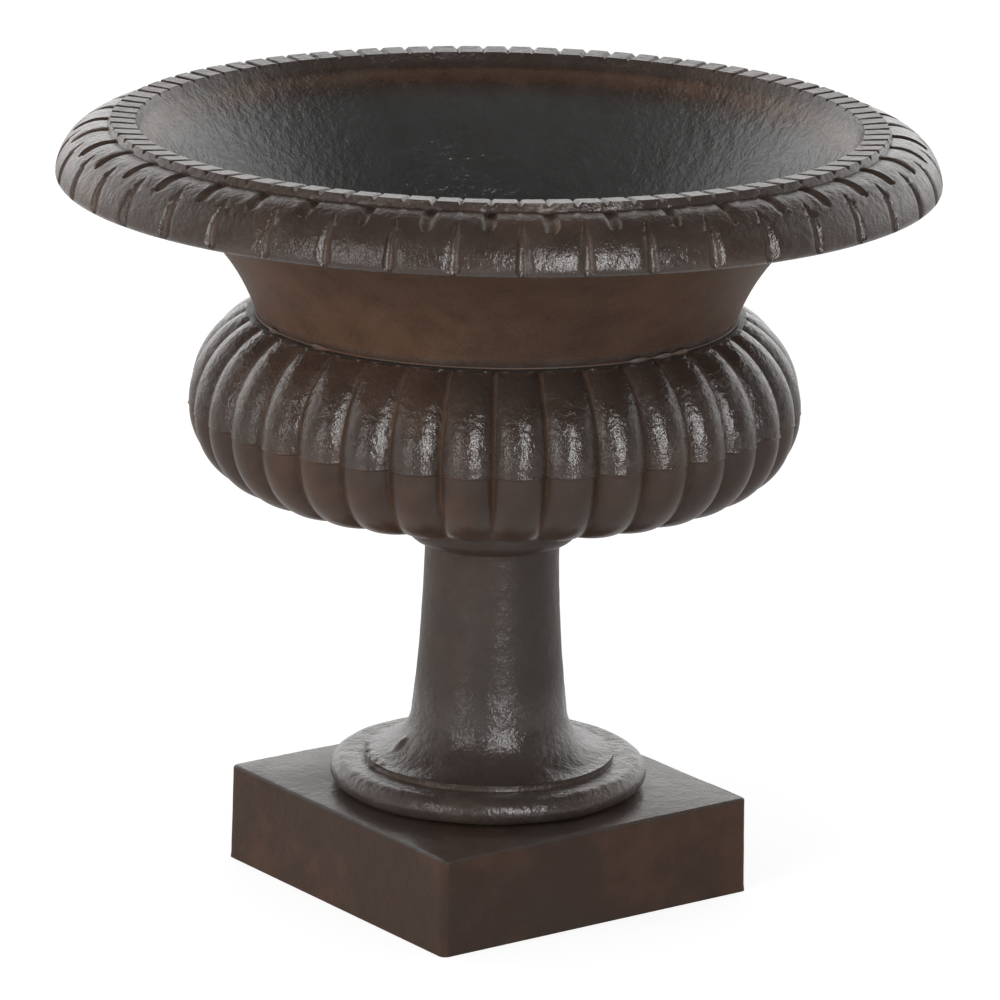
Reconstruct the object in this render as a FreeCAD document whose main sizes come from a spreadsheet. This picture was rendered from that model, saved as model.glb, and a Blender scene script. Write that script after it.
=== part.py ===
"""Cast iron garden urn: four castings clamped by a tie rod and by bolted inner lugs."""
import FreeCAD, Part
import math
import os
import Sketcher
from enum import IntEnum

Vector = FreeCAD.Vector
SHOULDER_STEPS = 4
BELLY_STEPS = 3


class Bend(IntEnum):
    """Side to which an arc turns on its way along an outline."""
    LEFT = 1
    RIGHT = -1


class Point(IntEnum):
    """Numbers by which a sketch knows the points of a run."""
    START = 1
    END = 2
    CENTRE = 3


class Axis(IntEnum):
    """Numbers by which a sketch knows its own axes."""
    ACROSS = -1
    UP = -2


# Driving sizes: millimetres, degrees and counts. Heights are measured up from the seat of each casting,
# drops are measured down from the top of the rim.
SIZES = [
    # Square plinth, with the draft of its mould
    ("plinth_foot_side", 185.2),
    ("plinth_draft", 1.15),
    ("plinth_height", 48.6),
    ("plinth_wall", 8.0),
    ("plinth_plate", 8.0),
    ("plinth_edge_round", 1.8),
    # Stem with its cove and ring foot
    ("stem_height", 121.4),
    ("stem_top_radius", 33.5),
    ("stem_flare", 5.1),
    ("stem_bore_radius", 21.0),
    ("cove_height", 23.0),
    ("cove_width", 23.7),
    ("foot_disc_edge", 2.9),
    ("foot_ledge", 9.6),
    ("foot_ring_round", 7.0),
    ("spigot_wall", 5.0),
    ("spigot_depth", 5.0),
    ("spigot_clearance", 0.3),
    # Gadrooned bowl
    ("belly_height", 74.0),
    ("shoulder_height", 44.5),
    ("belly_swell", 28.5),
    ("belly_round", 36.0),
    ("lip_overhang", 4.0),
    ("shoulder_turn", 68.0),
    ("lobe_count", 36),
    ("lobe_flank", 56.0),
    ("lobe_phase", -1.4),
    ("underside_step", 7.0),
    ("underside_height", 9.5),
    ("bowl_wall", 13.0),
    ("lip_inset", 1.5),
    ("cavity_turn", 68.0),
    ("floor_height", 14.0),
    ("floor_radius", 30.0),
    ("collar_width", 9.5),
    ("collar_height", 6.5),
    ("collar_round", 9.0),
    ("boss_depth", 6.0),
    ("drain_radius", 3.2),
    ("drain_edge", 1.7),
    ("drain_count", 4),
    # Rim and neck
    ("putty_thickness", 1.0),
    ("rim_height", 94.5),
    ("neck_foot_radius", 117.8),
    ("neck_foot_wall", 8.3),
    ("neck_sweep", 8.2),
    ("flare_drop", 32.5),
    ("hollow_width", 33.5),
    ("hollow_depth", 10.1),
    ("lip_width", 9.5),
    ("lip_drop", 30.0),
    ("lip_round", 4.0),
    ("rim_radius", 215.0),
    ("ovolo_width", 25.0),
    ("ovolo_curve", 24.0),
    ("bead_lean", 1.7),
    ("bead_width", 12.0),
    ("bead_height", 3.7),
    ("bead_fall", 0.8),
    ("mouth_bevel", 2.6),
    ("mouth_drop", 5.5),
    ("funnel_sweep", 2.6),
    # Gouges of the rolled rim and notches of its bead
    ("gouge_count", 44),
    ("gouge_phase", 3.47),
    ("upper_gouge_angle", 80.0),
    ("upper_gouge_radius", 4.0),
    ("upper_gouge_lift", 1.4),
    ("upper_gouge_run", 14.0),
    ("lower_gouge_angle", 29.0),
    ("lower_gouge_foot", 3.4),
    ("lower_gouge_tip", 2.2),
    ("lower_gouge_lift", 0.5),
    ("lower_gouge_run", 12.5),
    ("notch_depth", 1.7),
    ("notch_side", 6.0),
    ("notch_overrun", 2.0),
    # Inner lugs and their bolts
    ("lug_count", 4),
    ("lug_reach", 12.5),
    ("lug_width", 22.0),
    ("lug_thickness", 9.0),
    ("lug_root", 4.5),
    ("lug_bolt_radius", 4.0),
    ("lug_bolt_flats", 13.0),
    ("lug_bolt_head", 5.3),
    ("lug_nut_height", 6.5),
    ("lug_washer_radius", 8.0),
    ("lug_washer_thickness", 1.6),
    ("lug_bolt_tail", 3.0),
    # Tie rod and its anchor under the plinth's plate
    ("rod_radius", 6.0),
    ("rod_nut_flats", 18.0),
    ("rod_nut_height", 10.8),
    ("rod_washer_radius", 12.0),
    ("rod_washer_thickness", 2.5),
    ("rod_tail", 5.0),
    ("bar_length", 110.0),
    ("bar_width", 30.0),
    ("bar_thickness", 6.0),
    ("hole_clearance", 0.5),
    ("thread_clearance", 0.1),
]


class Size:
    """A size that carries its number and the sheet expression that gives it."""

    def __init__(self, number, text):
        self.number = number
        self.text = text

    def combine(self, other, sign, swap=False):
        other = other if isinstance(other, Size) else Size(other, str(other))
        first, second = (other, self) if swap else (self, other)
        number = {
            "+": lambda a, b: a + b,
            "-": lambda a, b: a - b,
            "*": lambda a, b: a * b,
            "/": lambda a, b: a / b,
        }[sign](first.number, second.number)
        return Size(number, f"({first.text} {sign} {second.text})")

    def __add__(self, other):
        return self.combine(other, "+")

    def __sub__(self, other):
        return self.combine(other, "-")

    def __rsub__(self, other):
        return self.combine(other, "-", swap=True)

    def __mul__(self, other):
        return self.combine(other, "*")

    def __truediv__(self, other):
        return self.combine(other, "/")

    def __neg__(self):
        return Size(-self.number, f"(-{self.text})")


def sine(angle):
    """Sine of a size held in degrees."""
    return Size(math.sin(math.radians(angle.number)), f"sin({angle.text})")


def cosine(angle):
    """Cosine of a size held in degrees."""
    return Size(math.cos(math.radians(angle.number)), f"cos({angle.text})")


def root(square):
    """Square root of a size."""
    return Size(math.sqrt(square.number), f"sqrt({square.text})")


def arctangent(slope):
    """Angle in degrees of a slope."""
    return Size(math.degrees(math.atan(slope.number)), f"atan({slope.text})")


def bowed_arc(across, up, rise):
    """Radius of an arc whose ends lie the two distances apart and which bows out by the rise."""
    return (across * across + up * up) / (rise * 8) + rise / 2


def tangent_arc(along, across):
    """Radius of an arc that starts square to 'across' and ends the two distances away."""
    return (along * along + across * across) / (across * 2)


doc = FreeCAD.newDocument("garden_urn")
sheet = doc.addObject("Spreadsheet::Sheet", "sizes")
for row, (alias, number) in enumerate(SIZES, start=1):
    sheet.set(f"A{row}", alias)
    sheet.set(f"B{row}", str(number))
    sheet.setAlias(f"B{row}", alias)
doc.recompute()


class Dimensions:
    """Every cell of the sheet as a Size, by its alias."""

    def __init__(self):
        for alias, _ in SIZES:
            setattr(self, alias, Size(float(sheet.get(alias)), f"sizes.{alias}"))


dim = Dimensions()
NOTHING = Size(0.0, "0")
HALF_HEX_CORNER = Size(30.0, "30")
ON_EDGE = Size(45.0, "45")
HALF_TURN = Size(180.0, "180")

# Levels and radii that several pieces share
plate_underside = dim.plinth_height - dim.plinth_plate
stem_seat = dim.plinth_height
bowl_seat = stem_seat + dim.stem_height
belly_level = bowl_seat + dim.belly_height
floor_level = bowl_seat + dim.floor_height
bowl_top = belly_level + dim.shoulder_height
neck_seat = bowl_top + dim.putty_thickness
rim_top = neck_seat + dim.rim_height
neck_foot_inside = dim.neck_foot_radius - dim.neck_foot_wall
bowl_lip_radius = dim.neck_foot_radius + dim.lip_overhang
bowl_lip_inside = neck_foot_inside - dim.lip_inset
belly_radius = bowl_lip_radius + dim.belly_swell
collar_radius = dim.stem_top_radius + dim.collar_width
spigot_radius = dim.stem_bore_radius + dim.spigot_wall
rod_hole_radius = dim.rod_radius + dim.hole_clearance
lug_circle = neck_foot_inside - dim.lug_reach
lug_hole_radius = dim.lug_bolt_radius + dim.hole_clearance


def bind(thing, **sizes):
    """Ties properties to the sheet; a double underscore in a name stands for a dot."""
    for name, size in sizes.items():
        thing.setExpression(name.replace("__", "."), size.text)


def new_body(label):
    """An empty body with its own label."""
    body = doc.addObject("PartDesign::Body", label)
    body.Label = label
    return body


def origin_part(body, role):
    """A plane or an axis of the body's own origin."""
    return next(part for part in body.Origin.OriginFeatures if part.Role == role)


def new_sketch(body, name, role, height=None):
    """A sketch on one of the body's planes, lifted along the plane's normal where a height is given."""
    sketch = body.newObject("Sketcher::SketchObject", name)
    sketch.AttachmentSupport = (origin_part(body, role), "")
    sketch.MapMode = "FlatFace"
    if height is not None:
        bind(sketch, AttachmentOffset__Base__z=height)
    return sketch


def arc_between(start, end, radius, bend):
    """The arc from start to end that turns left or right, and which of its ends lies at the start."""
    chord = end - start
    towards_centre = Vector(-chord.y, chord.x, 0).normalize() * bend
    rise = math.sqrt(max(0.0, radius ** 2 - (chord.Length / 2) ** 2))
    centre = (start + end) / 2 + towards_centre * rise
    first, last = (start, end) if bend == Bend.LEFT else (end, start)
    from_angle = math.atan2(first.y - centre.y, first.x - centre.x)
    to_angle = math.atan2(last.y - centre.y, last.x - centre.x)
    if to_angle <= from_angle:
        to_angle += 2 * math.pi
    arc = Part.ArcOfCircle(Part.Circle(centre, Vector(0, 0, 1), radius), from_angle, to_angle)
    return arc, (Point.START, Point.END) if bend == Bend.LEFT else (Point.END, Point.START)


def tie_point(sketch, geometry, end, across, up):
    """Ties one end of a run to the sheet, measured from the sketch's origin."""
    for kind, size, axis in (("DistanceX", across, Axis.UP), ("DistanceY", up, Axis.ACROSS)):
        if size is NOTHING:
            sketch.addConstraint(Sketcher.Constraint("PointOnObject", geometry, end, axis))
        else:
            rule = Sketcher.Constraint(kind, Axis.ACROSS, Point.START, geometry, end, size.number)
            index = sketch.addConstraint(rule)
            sketch.setExpression(f"Constraints[{index}]", size.text)


def draw(sketch, steps):
    """Closed outline; a step is a corner (across, up) or the end of an arc (across, up, radius, bend)."""
    ends = []
    for previous, step in zip([steps[-1]] + steps[:-1], steps):
        start = Vector(previous[0].number, previous[1].number, 0)
        end = Vector(step[0].number, step[1].number, 0)
        if len(step) == 2:
            run, order = Part.LineSegment(start, end), (Point.START, Point.END)
        else:
            run, order = arc_between(start, end, step[2].number, step[3])
        geometry = sketch.addGeometry(run)
        tie_point(sketch, geometry, order[1], step[0], step[1])
        if len(step) > 2:
            index = sketch.addConstraint(Sketcher.Constraint("Radius", geometry, step[2].number))
            sketch.setExpression(f"Constraints[{index}]", step[2].text)
        ends.append((geometry, order))
    for (run, order), (next_run, next_order) in zip(ends, ends[1:] + ends[:1]):
        sketch.addConstraint(Sketcher.Constraint("Coincident", run, order[1], next_run, next_order[0]))


def turn(body, name, steps, kind="PartDesign::Revolution"):
    """A full turn of an outline about the urn's axis, added or, as a Groove, cut away."""
    sketch = new_sketch(body, f"{name}_outline", "XZ_Plane")
    draw(sketch, steps)
    feature = body.newObject(kind, name)
    feature.Profile = sketch
    feature.ReferenceAxis = (sketch, ["V_Axis"])
    feature.Angle = 360
    return feature


def disc(body, name, radius, across, level):
    """A sketch of one circle, lifted to a level."""
    sketch = new_sketch(body, name, "XY_Plane", level)
    circle = sketch.addGeometry(Part.Circle(Vector(across.number, 0, 0), Vector(0, 0, 1), radius.number))
    tie_point(sketch, circle, Point.CENTRE, across, NOTHING)
    index = sketch.addConstraint(Sketcher.Constraint("Radius", circle, radius.number))
    sketch.setExpression(f"Constraints[{index}]", radius.text)
    return sketch


def boss(body, name, radius, height, across, level):
    """A round boss that stands on a level."""
    feature = body.newObject("PartDesign::Pad", name)
    feature.Profile = disc(body, f"{name}_circle", radius, across, level)
    bind(feature, Length=height)
    return feature


def bore(body, name, radius, height, across, level):
    """A round hole that starts on a level and goes up."""
    feature = body.newObject("PartDesign::Pocket", name)
    feature.Profile = disc(body, f"{name}_circle", radius, across, level)
    feature.Reversed = True
    bind(feature, Length=height)
    return feature


def ring_pattern(body, name, originals, count):
    """Repeats features round the urn's axis and makes the result the body's tip."""
    pattern = body.newObject("PartDesign::PolarPattern", name)
    pattern.Originals = originals
    pattern.Axis = (origin_part(body, "Z_Axis"), [""])
    pattern.Angle = 360
    bind(pattern, Occurrences=count)
    body.Tip = pattern
    return pattern


def ring_of(label, single, count, phase):
    """A group of copies of a piece, evenly spaced round the urn's axis from a first angle on."""
    group = doc.addObject("Part::Feature", label)
    group.Label = label
    doc.recompute()
    total = round(count.number)
    copies = [single.Shape.copy() for _ in range(total)]
    for index, copy in enumerate(copies):
        copy.rotate(Vector(0, 0, 0), Vector(0, 0, 1), phase.number + 360 * index / total)
    group.Shape = Part.makeCompound(copies)
    return group


def add_lugs(body, level, low_wall, high_wall):
    """Bolted lugs rooted in a casting's inner wall, from a level up to one lug thickness above it."""
    top = level + dim.lug_thickness
    low_root = low_wall + dim.lug_root
    high_root = high_wall + dim.lug_root
    sketch = new_sketch(body, "lug_side", "XZ_Plane")
    draw(sketch, [(lug_circle, level), (low_root, level), (high_root, top), (lug_circle, top)])
    web = body.newObject("PartDesign::Pad", "lug_web")
    web.Profile = sketch
    web.Midplane = True
    bind(web, Length=dim.lug_width)
    nose = boss(body, "lug_nose", dim.lug_width / 2, dim.lug_thickness, lug_circle, level)
    hole = bore(body, "lug_hole", lug_hole_radius, dim.lug_thickness, lug_circle, level)
    ring_pattern(body, "lugs", [web, nose, hole], dim.lug_count)


def make_plinth():
    """Square plinth with draft, a plate on top and a hollow below, bored for the stem's spigot."""
    body = new_body("plinth")

    half_foot = dim.plinth_foot_side / 2
    draft = arctangent(dim.plinth_draft / dim.plinth_height)

    def tapered(kind, name, half_side, height):
        sketch = new_sketch(body, f"{name}_foot", "XY_Plane")
        draw(sketch, [
            (-half_side, -half_side),
            (half_side, -half_side),
            (half_side, half_side),
            (-half_side, half_side),
        ])
        block = body.newObject(kind, name)
        block.Profile = sketch
        bind(block, Length=height, TaperAngle=-draft)
        doc.recompute()
        return block

    block = tapered("PartDesign::Pad", "plinth_block", half_foot, dim.plinth_height)
    rounded = []
    for index, edge in enumerate(block.Shape.Edges, start=1):
        if edge.BoundBox.ZMax > dim.plinth_edge_round.number:
            rounded.append(f"Edge{index}")
    fillet = body.newObject("PartDesign::Fillet", "plinth_rounds")
    fillet.Base = (block, rounded)
    bind(fillet, Radius=dim.plinth_edge_round)
    hollow = tapered("PartDesign::Pocket", "plinth_hollow", half_foot - dim.plinth_wall, plate_underside)
    hollow.Reversed = True
    spigot_hole = spigot_radius + dim.spigot_clearance
    bore(body, "spigot_hole", spigot_hole, dim.plinth_plate, NOTHING, plate_underside)
    return body


def make_stem():
    """Hollow stem: spigot, ring foot, disc, cove and a gently waisted shaft."""
    body = new_body("stem")
    shaft_base = dim.stem_top_radius + dim.stem_flare
    disc_radius = shaft_base + dim.cove_width
    ring_centre = disc_radius + dim.foot_ledge
    ring_middle = stem_seat + dim.foot_ring_round
    ring_top = stem_seat + dim.foot_ring_round * 2
    disc_top = ring_top + dim.foot_disc_edge
    shaft_foot = disc_top + dim.cove_height
    cove_curve = tangent_arc(dim.cove_width, dim.cove_height)
    shaft_curve = tangent_arc(bowl_seat - shaft_foot, dim.stem_flare)
    spigot_end = stem_seat - dim.spigot_depth
    turn(body, "stem_casting", [
        (dim.stem_bore_radius, spigot_end),
        (spigot_radius, spigot_end),
        (spigot_radius, stem_seat),
        (ring_centre, stem_seat),
        (ring_centre + dim.foot_ring_round, ring_middle, dim.foot_ring_round, Bend.LEFT),
        (ring_centre, ring_top, dim.foot_ring_round, Bend.LEFT),
        (disc_radius, ring_top),
        (disc_radius, disc_top),
        (shaft_base, shaft_foot, cove_curve, Bend.RIGHT),
        (dim.stem_top_radius, bowl_seat, shaft_curve, Bend.RIGHT),
        (dim.stem_bore_radius, bowl_seat),
    ])
    return body


def lobe_ring(crest_radius, level):
    """Closed wire round the urn: one arc for each lobe, with sharp valleys between them."""
    half_pitch = math.pi / dim.lobe_count.number
    bulge = math.tan(math.radians(dim.lobe_flank.number) / 2)
    valley_radius = crest_radius / (math.cos(half_pitch) + math.sin(half_pitch) * bulge)

    def point(radius, angle):
        turned = angle + math.radians(dim.lobe_phase.number)
        return Vector(radius * math.cos(turned), radius * math.sin(turned), level)

    edges = []
    for lobe in range(round(dim.lobe_count.number)):
        middle = 2 * half_pitch * lobe
        arc = Part.Arc(
            point(valley_radius, middle - half_pitch),
            point(crest_radius, middle),
            point(valley_radius, middle + half_pitch),
        )
        edges.append(arc.toShape())
    return Part.Wire(edges)


def crest_points():
    """Side outline of a lobe's crest as (radius, level), lip to belly, and the foot of its underside."""
    belly, round_radius = belly_radius.number, dim.belly_round.number
    level = belly_level.number
    turn_angle = math.radians(dim.shoulder_turn.number)
    shoulder_rise = dim.shoulder_height.number / math.sin(turn_angle)
    shoulder_width = dim.belly_swell.number / (1 - math.cos(turn_angle))
    points = []
    for step in range(SHOULDER_STEPS, -1, -1):
        angle = turn_angle * step / SHOULDER_STEPS
        radius = belly - shoulder_width * (1 - math.cos(angle))
        points.append((radius, level + shoulder_rise * math.sin(angle)))
    # The underside is a straight run that touches the belly's arc.
    centre = Vector(belly - round_radius, level, 0)
    foot_radius = collar_radius + dim.underside_step
    foot_level = bowl_seat + dim.underside_height
    foot = Vector(foot_radius.number, foot_level.number, 0)
    reach = foot - centre
    touch_angle = math.atan2(reach.y, reach.x) + math.acos(round_radius / reach.Length)
    for step in range(1, BELLY_STEPS + 1):
        angle = touch_angle * step / BELLY_STEPS
        points.append((centre.x + round_radius * math.cos(angle), level + round_radius * math.sin(angle)))
    return points, (foot.x, foot.y)


def make_lobes():
    """Solid lobes: a smooth loft over shoulder and belly, and straight lofts along the underside."""
    over_belly, foot = crest_points()
    upper = Part.makeLoft([lobe_ring(*point) for point in over_belly], True, False)
    lower = Part.makeLoft([lobe_ring(*over_belly[-1]), lobe_ring(*foot)], True, True)
    lobes = doc.addObject("Part::Feature", "lobes")
    lobes.Shape = upper.fuse(lower)
    return lobes


def make_bowl():
    """Gadrooned bowl: the lobes hollowed, with collar, boss, lugs and drains."""
    lobes = make_lobes()
    body = new_body("gadrooned_bowl")
    body.BaseFeature = lobes
    doc.recompute()
    boss_end = bowl_seat - dim.boss_depth
    boss_radius = dim.stem_bore_radius - dim.spigot_clearance
    turn(body, "collar", [
        (NOTHING, boss_end),
        (boss_radius, boss_end),
        (boss_radius, bowl_seat),
        (dim.stem_top_radius, bowl_seat),
        (collar_radius, bowl_seat + dim.collar_height, dim.collar_round, Bend.LEFT),
        (collar_radius, floor_level),
        (NOTHING, floor_level),
    ])
    inner_round = dim.belly_round - dim.bowl_wall
    inner_belly = belly_radius - dim.bowl_wall
    inner_centre = inner_belly - inner_round
    slope_radius = inner_centre + inner_round * cosine(dim.cavity_turn)
    slope_level = belly_level - inner_round * sine(dim.cavity_turn)
    shoulder_curve = tangent_arc(dim.shoulder_height, inner_belly - bowl_lip_inside)
    turn(body, "cavity", [
        (NOTHING, floor_level),
        (dim.floor_radius, floor_level),
        (slope_radius, slope_level),
        (inner_belly, belly_level, inner_round, Bend.LEFT),
        (bowl_lip_inside, bowl_top, shoulder_curve, Bend.LEFT),
        (NOTHING, bowl_top),
    ], kind="PartDesign::Groove")
    lug_rise = dim.shoulder_height - dim.lug_thickness
    wall_reach = root(shoulder_curve * shoulder_curve - lug_rise * lug_rise)
    wall_below_lug = inner_belly - shoulder_curve + wall_reach
    add_lugs(body, bowl_top - dim.lug_thickness, wall_below_lug, bowl_lip_inside)
    floor_depth = dim.floor_height + dim.boss_depth
    bore(body, "rod_hole", rod_hole_radius, floor_depth, NOTHING, boss_end)
    drain_circle = boss_radius - dim.drain_edge - dim.drain_radius
    drain = bore(body, "drain", dim.drain_radius, floor_depth, drain_circle, boss_end)
    ring_pattern(body, "drains", [drain], dim.drain_count)
    return body


def lay(tool, turned_about, angle, across, up):
    """Places a carving tool in the radial plane, turned about an axis through its own start."""
    tool.Placement = FreeCAD.Placement(Vector(), FreeCAD.Rotation(turned_about, angle.number))
    bind(tool, Placement__Base__x=across, Placement__Base__z=up, Placement__Rotation__Angle=angle)


def chisel(tool, angle, lift, centre, run):
    """Lays a round tool along the roll, with its middle at an angle above the roll's centre."""
    across, up = centre
    spoke = dim.ovolo_curve + lift
    start_across = across + spoke * cosine(angle) + run * sine(angle)
    start_up = up + spoke * sine(angle) - run * cosine(angle)
    lay(tool, Vector(0, 1, 0), -angle, start_across, start_up)


def carved(label, blank, tool, count, phase):
    """A blank cut by a tool that is repeated round the urn's axis from a first angle on."""
    cut = doc.addObject("Part::Cut", label)
    cut.Label = label
    cut.Base = blank
    cut.Tool = ring_of(f"{label}_tools", tool, count, phase)
    return cut


def carve_rim(blank, roll_centre, bead_foot, bead_inside):
    """Cuts two rows of gouges into the roll, half a step apart, and notches in line with them in the bead."""
    upper = doc.addObject("Part::Cylinder", "upper_gouge")
    upper_middle = roll_centre[0] + (dim.ovolo_curve + dim.upper_gouge_lift) * cosine(dim.upper_gouge_angle)
    run_to_bead = (upper_middle - bead_foot) / sine(dim.upper_gouge_angle)
    bind(upper, Radius=dim.upper_gouge_radius, Height=dim.upper_gouge_run + run_to_bead)
    chisel(upper, dim.upper_gouge_angle, dim.upper_gouge_lift, roll_centre, dim.upper_gouge_run)

    lower = doc.addObject("Part::Cone", "lower_gouge")
    bind(lower, Radius1=dim.lower_gouge_foot, Radius2=dim.lower_gouge_tip, Height=dim.lower_gouge_run * 2)
    chisel(lower, dim.lower_gouge_angle, dim.lower_gouge_lift, roll_centre, dim.lower_gouge_run)

    notch = doc.addObject("Part::Box", "bead_notch")
    notch_length = bead_foot - bead_inside + dim.notch_overrun * 2
    bind(notch, Length=notch_length, Width=dim.notch_side, Height=dim.notch_side)
    lay(notch, Vector(1, 0, 0), ON_EDGE, bead_inside - dim.notch_overrun, rim_top - dim.notch_depth)

    half_step = dim.gouge_phase + HALF_TURN / dim.gouge_count
    gouged_above = carved("gouged_above", blank, upper, dim.gouge_count, dim.gouge_phase)
    gouged_below = carved("gouged_below", gouged_above, lower, dim.gouge_count, half_step)
    return carved("rim_and_neck", gouged_below, notch, dim.gouge_count * 2, dim.gouge_phase)


def make_rim():
    """Flared neck with a carved rolled rim, a notched bead round the mouth and inner lugs."""
    body = new_body("rim_blank")
    lip_level = rim_top - dim.lip_drop
    lip_inside = dim.rim_radius - dim.lip_width
    flare_radius = lip_inside - dim.hollow_width
    flare_level = rim_top - dim.flare_drop
    bead_foot = dim.rim_radius - dim.ovolo_width
    bead_outside = bead_foot - dim.bead_lean
    bead_inside = bead_outside - dim.bead_width
    mouth_radius = bead_inside - dim.mouth_bevel
    mouth_level = rim_top - dim.mouth_drop
    neck_curve = bowed_arc(flare_radius - dim.neck_foot_radius, flare_level - neck_seat, dim.neck_sweep)
    hollow_curve = bowed_arc(dim.hollow_width, lip_level - flare_level, dim.hollow_depth)
    funnel_curve = bowed_arc(mouth_radius - neck_foot_inside, mouth_level - neck_seat, dim.funnel_sweep)
    turn(body, "rim_casting", [
        (neck_foot_inside, neck_seat, funnel_curve, Bend.LEFT),
        (dim.neck_foot_radius, neck_seat),
        (flare_radius, flare_level, neck_curve, Bend.RIGHT),
        (lip_inside, lip_level, hollow_curve, Bend.RIGHT),
        (dim.rim_radius - dim.lip_round, lip_level),
        (dim.rim_radius, lip_level + dim.lip_round, dim.lip_round, Bend.LEFT),
        (bead_foot, rim_top - dim.bead_height, dim.ovolo_curve, Bend.LEFT),
        (bead_outside, rim_top),
        (bead_inside, rim_top - dim.bead_fall),
        (mouth_radius, mouth_level),
    ])
    funnel_slope = (mouth_radius - neck_foot_inside) / (mouth_level - neck_seat)
    add_lugs(body, neck_seat, neck_foot_inside, neck_foot_inside + funnel_slope * dim.lug_thickness)

    roll_foot = lip_level + dim.lip_round
    roll_rise = rim_top - dim.bead_height - roll_foot
    roll_chord = root(dim.ovolo_width * dim.ovolo_width + roll_rise * roll_rise)
    roll_bow = root(dim.ovolo_curve * dim.ovolo_curve - roll_chord * roll_chord / 4)
    roll_centre = (
        dim.rim_radius - dim.ovolo_width / 2 - roll_bow * roll_rise / roll_chord,
        roll_foot + roll_rise / 2 - roll_bow * dim.ovolo_width / roll_chord,
    )
    return carve_rim(body, roll_centre, bead_foot, bead_inside)


def make_putty():
    """Ring of jointing putty between the bowl's lip and the neck's foot."""
    body = new_body("joint_putty")
    turn(body, "putty_ring", [
        (neck_foot_inside, bowl_top),
        (dim.neck_foot_radius, bowl_top),
        (dim.neck_foot_radius, neck_seat),
        (neck_foot_inside, neck_seat),
    ])
    return body


def round_bar(name, radius, height, across, level):
    """A plain cylinder that stands on a level."""
    bar = doc.addObject("Part::Cylinder", name)
    bind(bar, Radius=radius, Height=height, Placement__Base__x=across, Placement__Base__z=level)
    return bar


def hexagon(name, flats, height, across, level):
    """A hexagonal prism that stands on a level, sized across its flats."""
    prism = doc.addObject("Part::Prism", name)
    prism.Polygon = 6
    bind(prism, Circumradius=flats / cosine(HALF_HEX_CORNER) / 2, Height=height)
    bind(prism, Placement__Base__x=across, Placement__Base__z=level)
    return prism


def pierced(label, blank, hole_radius, height, across, level):
    """A blank with a round hole through it: a washer, a nut or the bar."""
    cut = doc.addObject("Part::Cut", label)
    cut.Label = label
    cut.Base = blank
    cut.Tool = round_bar(f"{label}_hole", hole_radius, height, across, level)
    return cut


def washer(label, hole_radius, radius, thickness, across, level):
    """A flat washer lying on a level."""
    blank = round_bar(f"{label}_blank", radius, thickness, across, level)
    return pierced(label, blank, hole_radius, thickness, across, level)


def nut(label, hole_radius, flats, height, across, level):
    """A hexagonal nut standing on a level."""
    blank = hexagon(f"{label}_blank", flats, height, across, level)
    return pierced(label, blank, hole_radius, height, across, level)


def make_tie_rod():
    """Tie rod with its nuts and washers, and the bar that it pulls against under the plinth's plate."""
    bar_underside = plate_underside - dim.bar_thickness
    washer_underside = bar_underside - dim.rod_washer_thickness
    anchor_nut_seat = washer_underside - dim.rod_nut_height
    bowl_nut_seat = floor_level + dim.rod_washer_thickness
    rod_foot = anchor_nut_seat - dim.rod_tail
    rod_top = bowl_nut_seat + dim.rod_nut_height + dim.rod_tail
    thread_radius = dim.rod_radius + dim.thread_clearance
    rod = round_bar("tie_rod", dim.rod_radius, rod_top - rod_foot, NOTHING, rod_foot)
    blank = doc.addObject("Part::Box", "anchor_bar_blank")
    bind(blank, Length=dim.bar_length, Width=dim.bar_width, Height=dim.bar_thickness)
    bind(
        blank,
        Placement__Base__x=-dim.bar_length / 2,
        Placement__Base__y=-dim.bar_width / 2,
        Placement__Base__z=bar_underside,
    )
    bar = pierced("anchor_bar", blank, rod_hole_radius, dim.bar_thickness, NOTHING, bar_underside)
    ring = (rod_hole_radius, dim.rod_washer_radius, dim.rod_washer_thickness, NOTHING)
    hexagonal = (thread_radius, dim.rod_nut_flats, dim.rod_nut_height, NOTHING)
    return [
        rod,
        bar,
        washer("anchor_washer", *ring, washer_underside),
        nut("anchor_nut", *hexagonal, anchor_nut_seat),
        washer("bowl_washer", *ring, floor_level),
        nut("bowl_nut", *hexagonal, bowl_nut_seat),
    ]


def make_lug_fasteners():
    """Bolts, washers and nuts that hold the neck's lugs to the bowl's lugs."""
    neck_lug_top = neck_seat + dim.lug_thickness
    head_seat = neck_lug_top + dim.lug_washer_thickness
    nut_washer_seat = bowl_top - dim.lug_thickness - dim.lug_washer_thickness
    nut_seat = nut_washer_seat - dim.lug_nut_height
    tail_end = nut_seat - dim.lug_bolt_tail
    bolt = doc.addObject("Part::Fuse", "lug_bolt")
    shank_length = head_seat - tail_end
    bolt.Base = hexagon("lug_bolt_hex", dim.lug_bolt_flats, dim.lug_bolt_head, lug_circle, head_seat)
    bolt.Tool = round_bar("lug_bolt_shank", dim.lug_bolt_radius, shank_length, lug_circle, tail_end)
    ring = (lug_hole_radius, dim.lug_washer_radius, dim.lug_washer_thickness, lug_circle)
    thread_radius = dim.lug_bolt_radius + dim.thread_clearance
    hexagonal = (thread_radius, dim.lug_bolt_flats, dim.lug_nut_height, lug_circle)
    at_lugs = (dim.lug_count, NOTHING)
    return [
        ring_of("lug_bolts", bolt, *at_lugs),
        ring_of("head_washers", washer("head_washer", *ring, neck_lug_top), *at_lugs),
        ring_of("nut_washers", washer("nut_washer", *ring, nut_washer_seat), *at_lugs),
        ring_of("lug_nuts", nut("lug_nut", *hexagonal, nut_seat), *at_lugs),
    ]


pieces = [make_plinth(), make_stem(), make_bowl(), make_putty(), make_rim()]
pieces += make_tie_rod() + make_lug_fasteners()
doc.recompute()

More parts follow.
